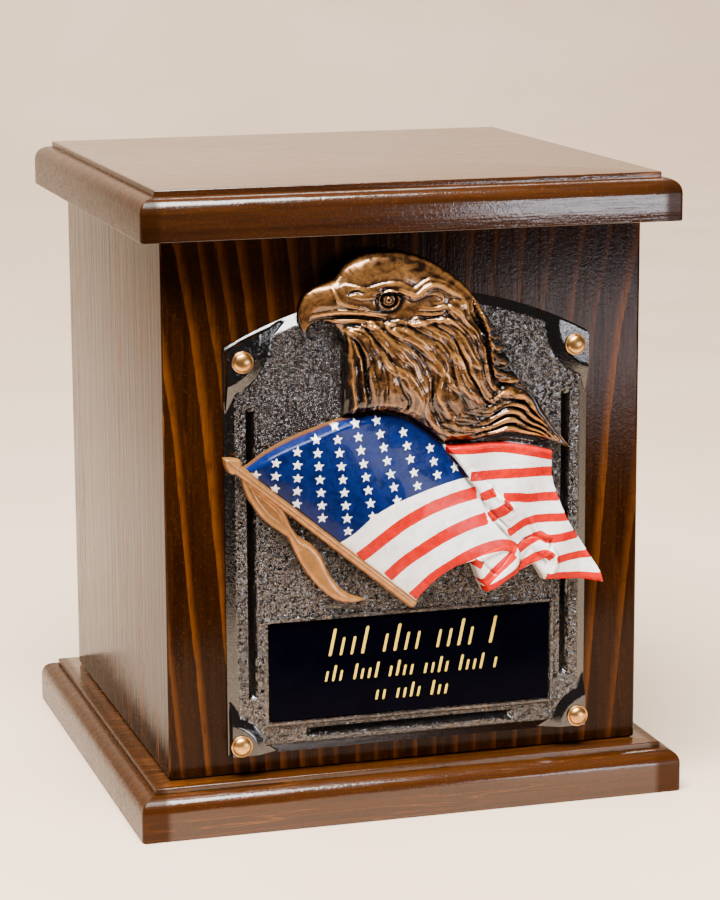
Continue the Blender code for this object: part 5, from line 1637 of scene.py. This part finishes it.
def pale_sweep():
    """A floor that bends up into a backdrop: a flat run, part of a quarter round, an upright."""
    bend = np.linspace(0.1, math.pi / 2, 10)
    run = np.concatenate([np.linspace(SWEEP_FRONT, SWEEP_BEND, 12),
                          SWEEP_BEND + SWEEP_RADIUS * np.sin(bend), [SWEEP_BEND + SWEEP_RADIUS]])
    rise = np.concatenate([np.zeros(12), SWEEP_RADIUS - SWEEP_RADIUS * np.cos(bend), [SWEEP_TOP]])
    x, row = np.meshgrid([-SWEEP_HALF, SWEEP_HALF], np.arange(len(run)))
    points = np.stack([x, run[row], rise[row]], axis=-1).reshape(-1, 3)
    quads = grid_corners(np.arange(len(points)).reshape(-1, 2)).reshape(-1, 4)
    return mesh_piece("pale_sweep", points, quads)


def photo_camera():
    """A camera at its place, looking along its yaw and pitch, and rolled about that line."""
    data = bpy.data.cameras.new("photo_view")
    data.lens = CAMERA_LENS
    data.sensor_width = CAMERA_SENSOR
    data.clip_start = 0.05
    data.clip_end = 50.0
    camera = bpy.data.objects.new("photo_view", data)
    bpy.context.scene.collection.objects.link(camera)
    yaw, pitch, roll = (math.radians(a) for a in (CAMERA_YAW, CAMERA_PITCH, CAMERA_ROLL))
    forward = Vector((math.sin(yaw) * math.cos(pitch), math.cos(yaw) * math.cos(pitch),
                      -math.sin(pitch)))
    right = Vector((math.cos(yaw), -math.sin(yaw), 0))
    up = right.cross(forward)
    turned_right = math.cos(roll) * right + math.sin(roll) * up
    turned_up = math.cos(roll) * up - math.sin(roll) * right
    axes = Matrix((turned_right, turned_up, -forward)).transposed().to_4x4()
    camera.matrix_world = Matrix.Translation(CAMERA_PLACE) @ axes
    return camera


class URNBOX_OT_stage(bpy.types.Operator):
    """Set out the pale floor and backdrop, the soft light and the camera."""
    bl_idname = "urnbox.stage"
    bl_label = "Stage"

    def execute(self, context):
        sweep = pale_sweep()
        sweep.data.materials.append(floor_finish())
        sweep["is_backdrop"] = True
        world = bpy.data.worlds.new("soft_room")
        world.use_nodes = True
        room = world.node_tree.nodes["Background"].inputs
        room["Color"].default_value = ROOM_COLOUR
        room["Strength"].default_value = ROOM_LIGHT
        context.scene.world = world
        for name, settings in SOFT_LIGHTS.items():
            soft_light(name, *settings)
        context.scene.camera = photo_camera()
        return {"FINISHED"}


class URNBOX_PT_sidebar(bpy.types.Panel):
    """Lists the urn box's pieces, sizes and colours."""
    bl_idname = "URNBOX_PT_sidebar"
    bl_label = "Urn Box"
    bl_space_type = "VIEW_3D"
    bl_region_type = "UI"
    bl_category = "Urn Box"

    def draw(self, context):
        for operator in OPERATORS:
            self.layout.operator(operator.bl_idname)
        for group in (context.scene.urn_box_sizes, context.scene.urn_box_colours):
            for name in group.__annotations__:
                self.layout.prop(group, name)


OPERATORS = (URNBOX_OT_walnut_boards, URNBOX_OT_cast_panel, URNBOX_OT_nameplate, URNBOX_OT_eagle,
             URNBOX_OT_flag, URNBOX_OT_staff_and_ribbon, URNBOX_OT_tacks, URNBOX_OT_stage)
CLASSES = (UrnBoxSizes, UrnBoxColours, *OPERATORS, URNBOX_PT_sidebar)


def register():
    """Make the sizes, colours, operators and sidebar known."""
    for cls in CLASSES:
        bpy.utils.register_class(cls)
    bpy.types.Scene.urn_box_sizes = PointerProperty(type=UrnBoxSizes)
    bpy.types.Scene.urn_box_colours = PointerProperty(type=UrnBoxColours)


def unregister():
    """Take them away again, in the opposite order."""
    del bpy.types.Scene.urn_box_colours
    del bpy.types.Scene.urn_box_sizes
    for cls in reversed(CLASSES):
        bpy.utils.unregister_class(cls)


def main():
    """Build every piece in order."""
    register()
    bpy.ops.urnbox.walnut_boards()
    bpy.ops.urnbox.cast_panel()
    bpy.ops.urnbox.nameplate()
    bpy.ops.urnbox.eagle()
    bpy.ops.urnbox.flag()
    bpy.ops.urnbox.staff_and_ribbon()
    bpy.ops.urnbox.tacks()
    bpy.ops.urnbox.stage()
    boxes = {"cad": CAD_BOX, "visual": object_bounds()}
    {name: [list(low), list(high)] for name, (low, high) in boxes.items()}


if __name__ == "__main__":
    main()
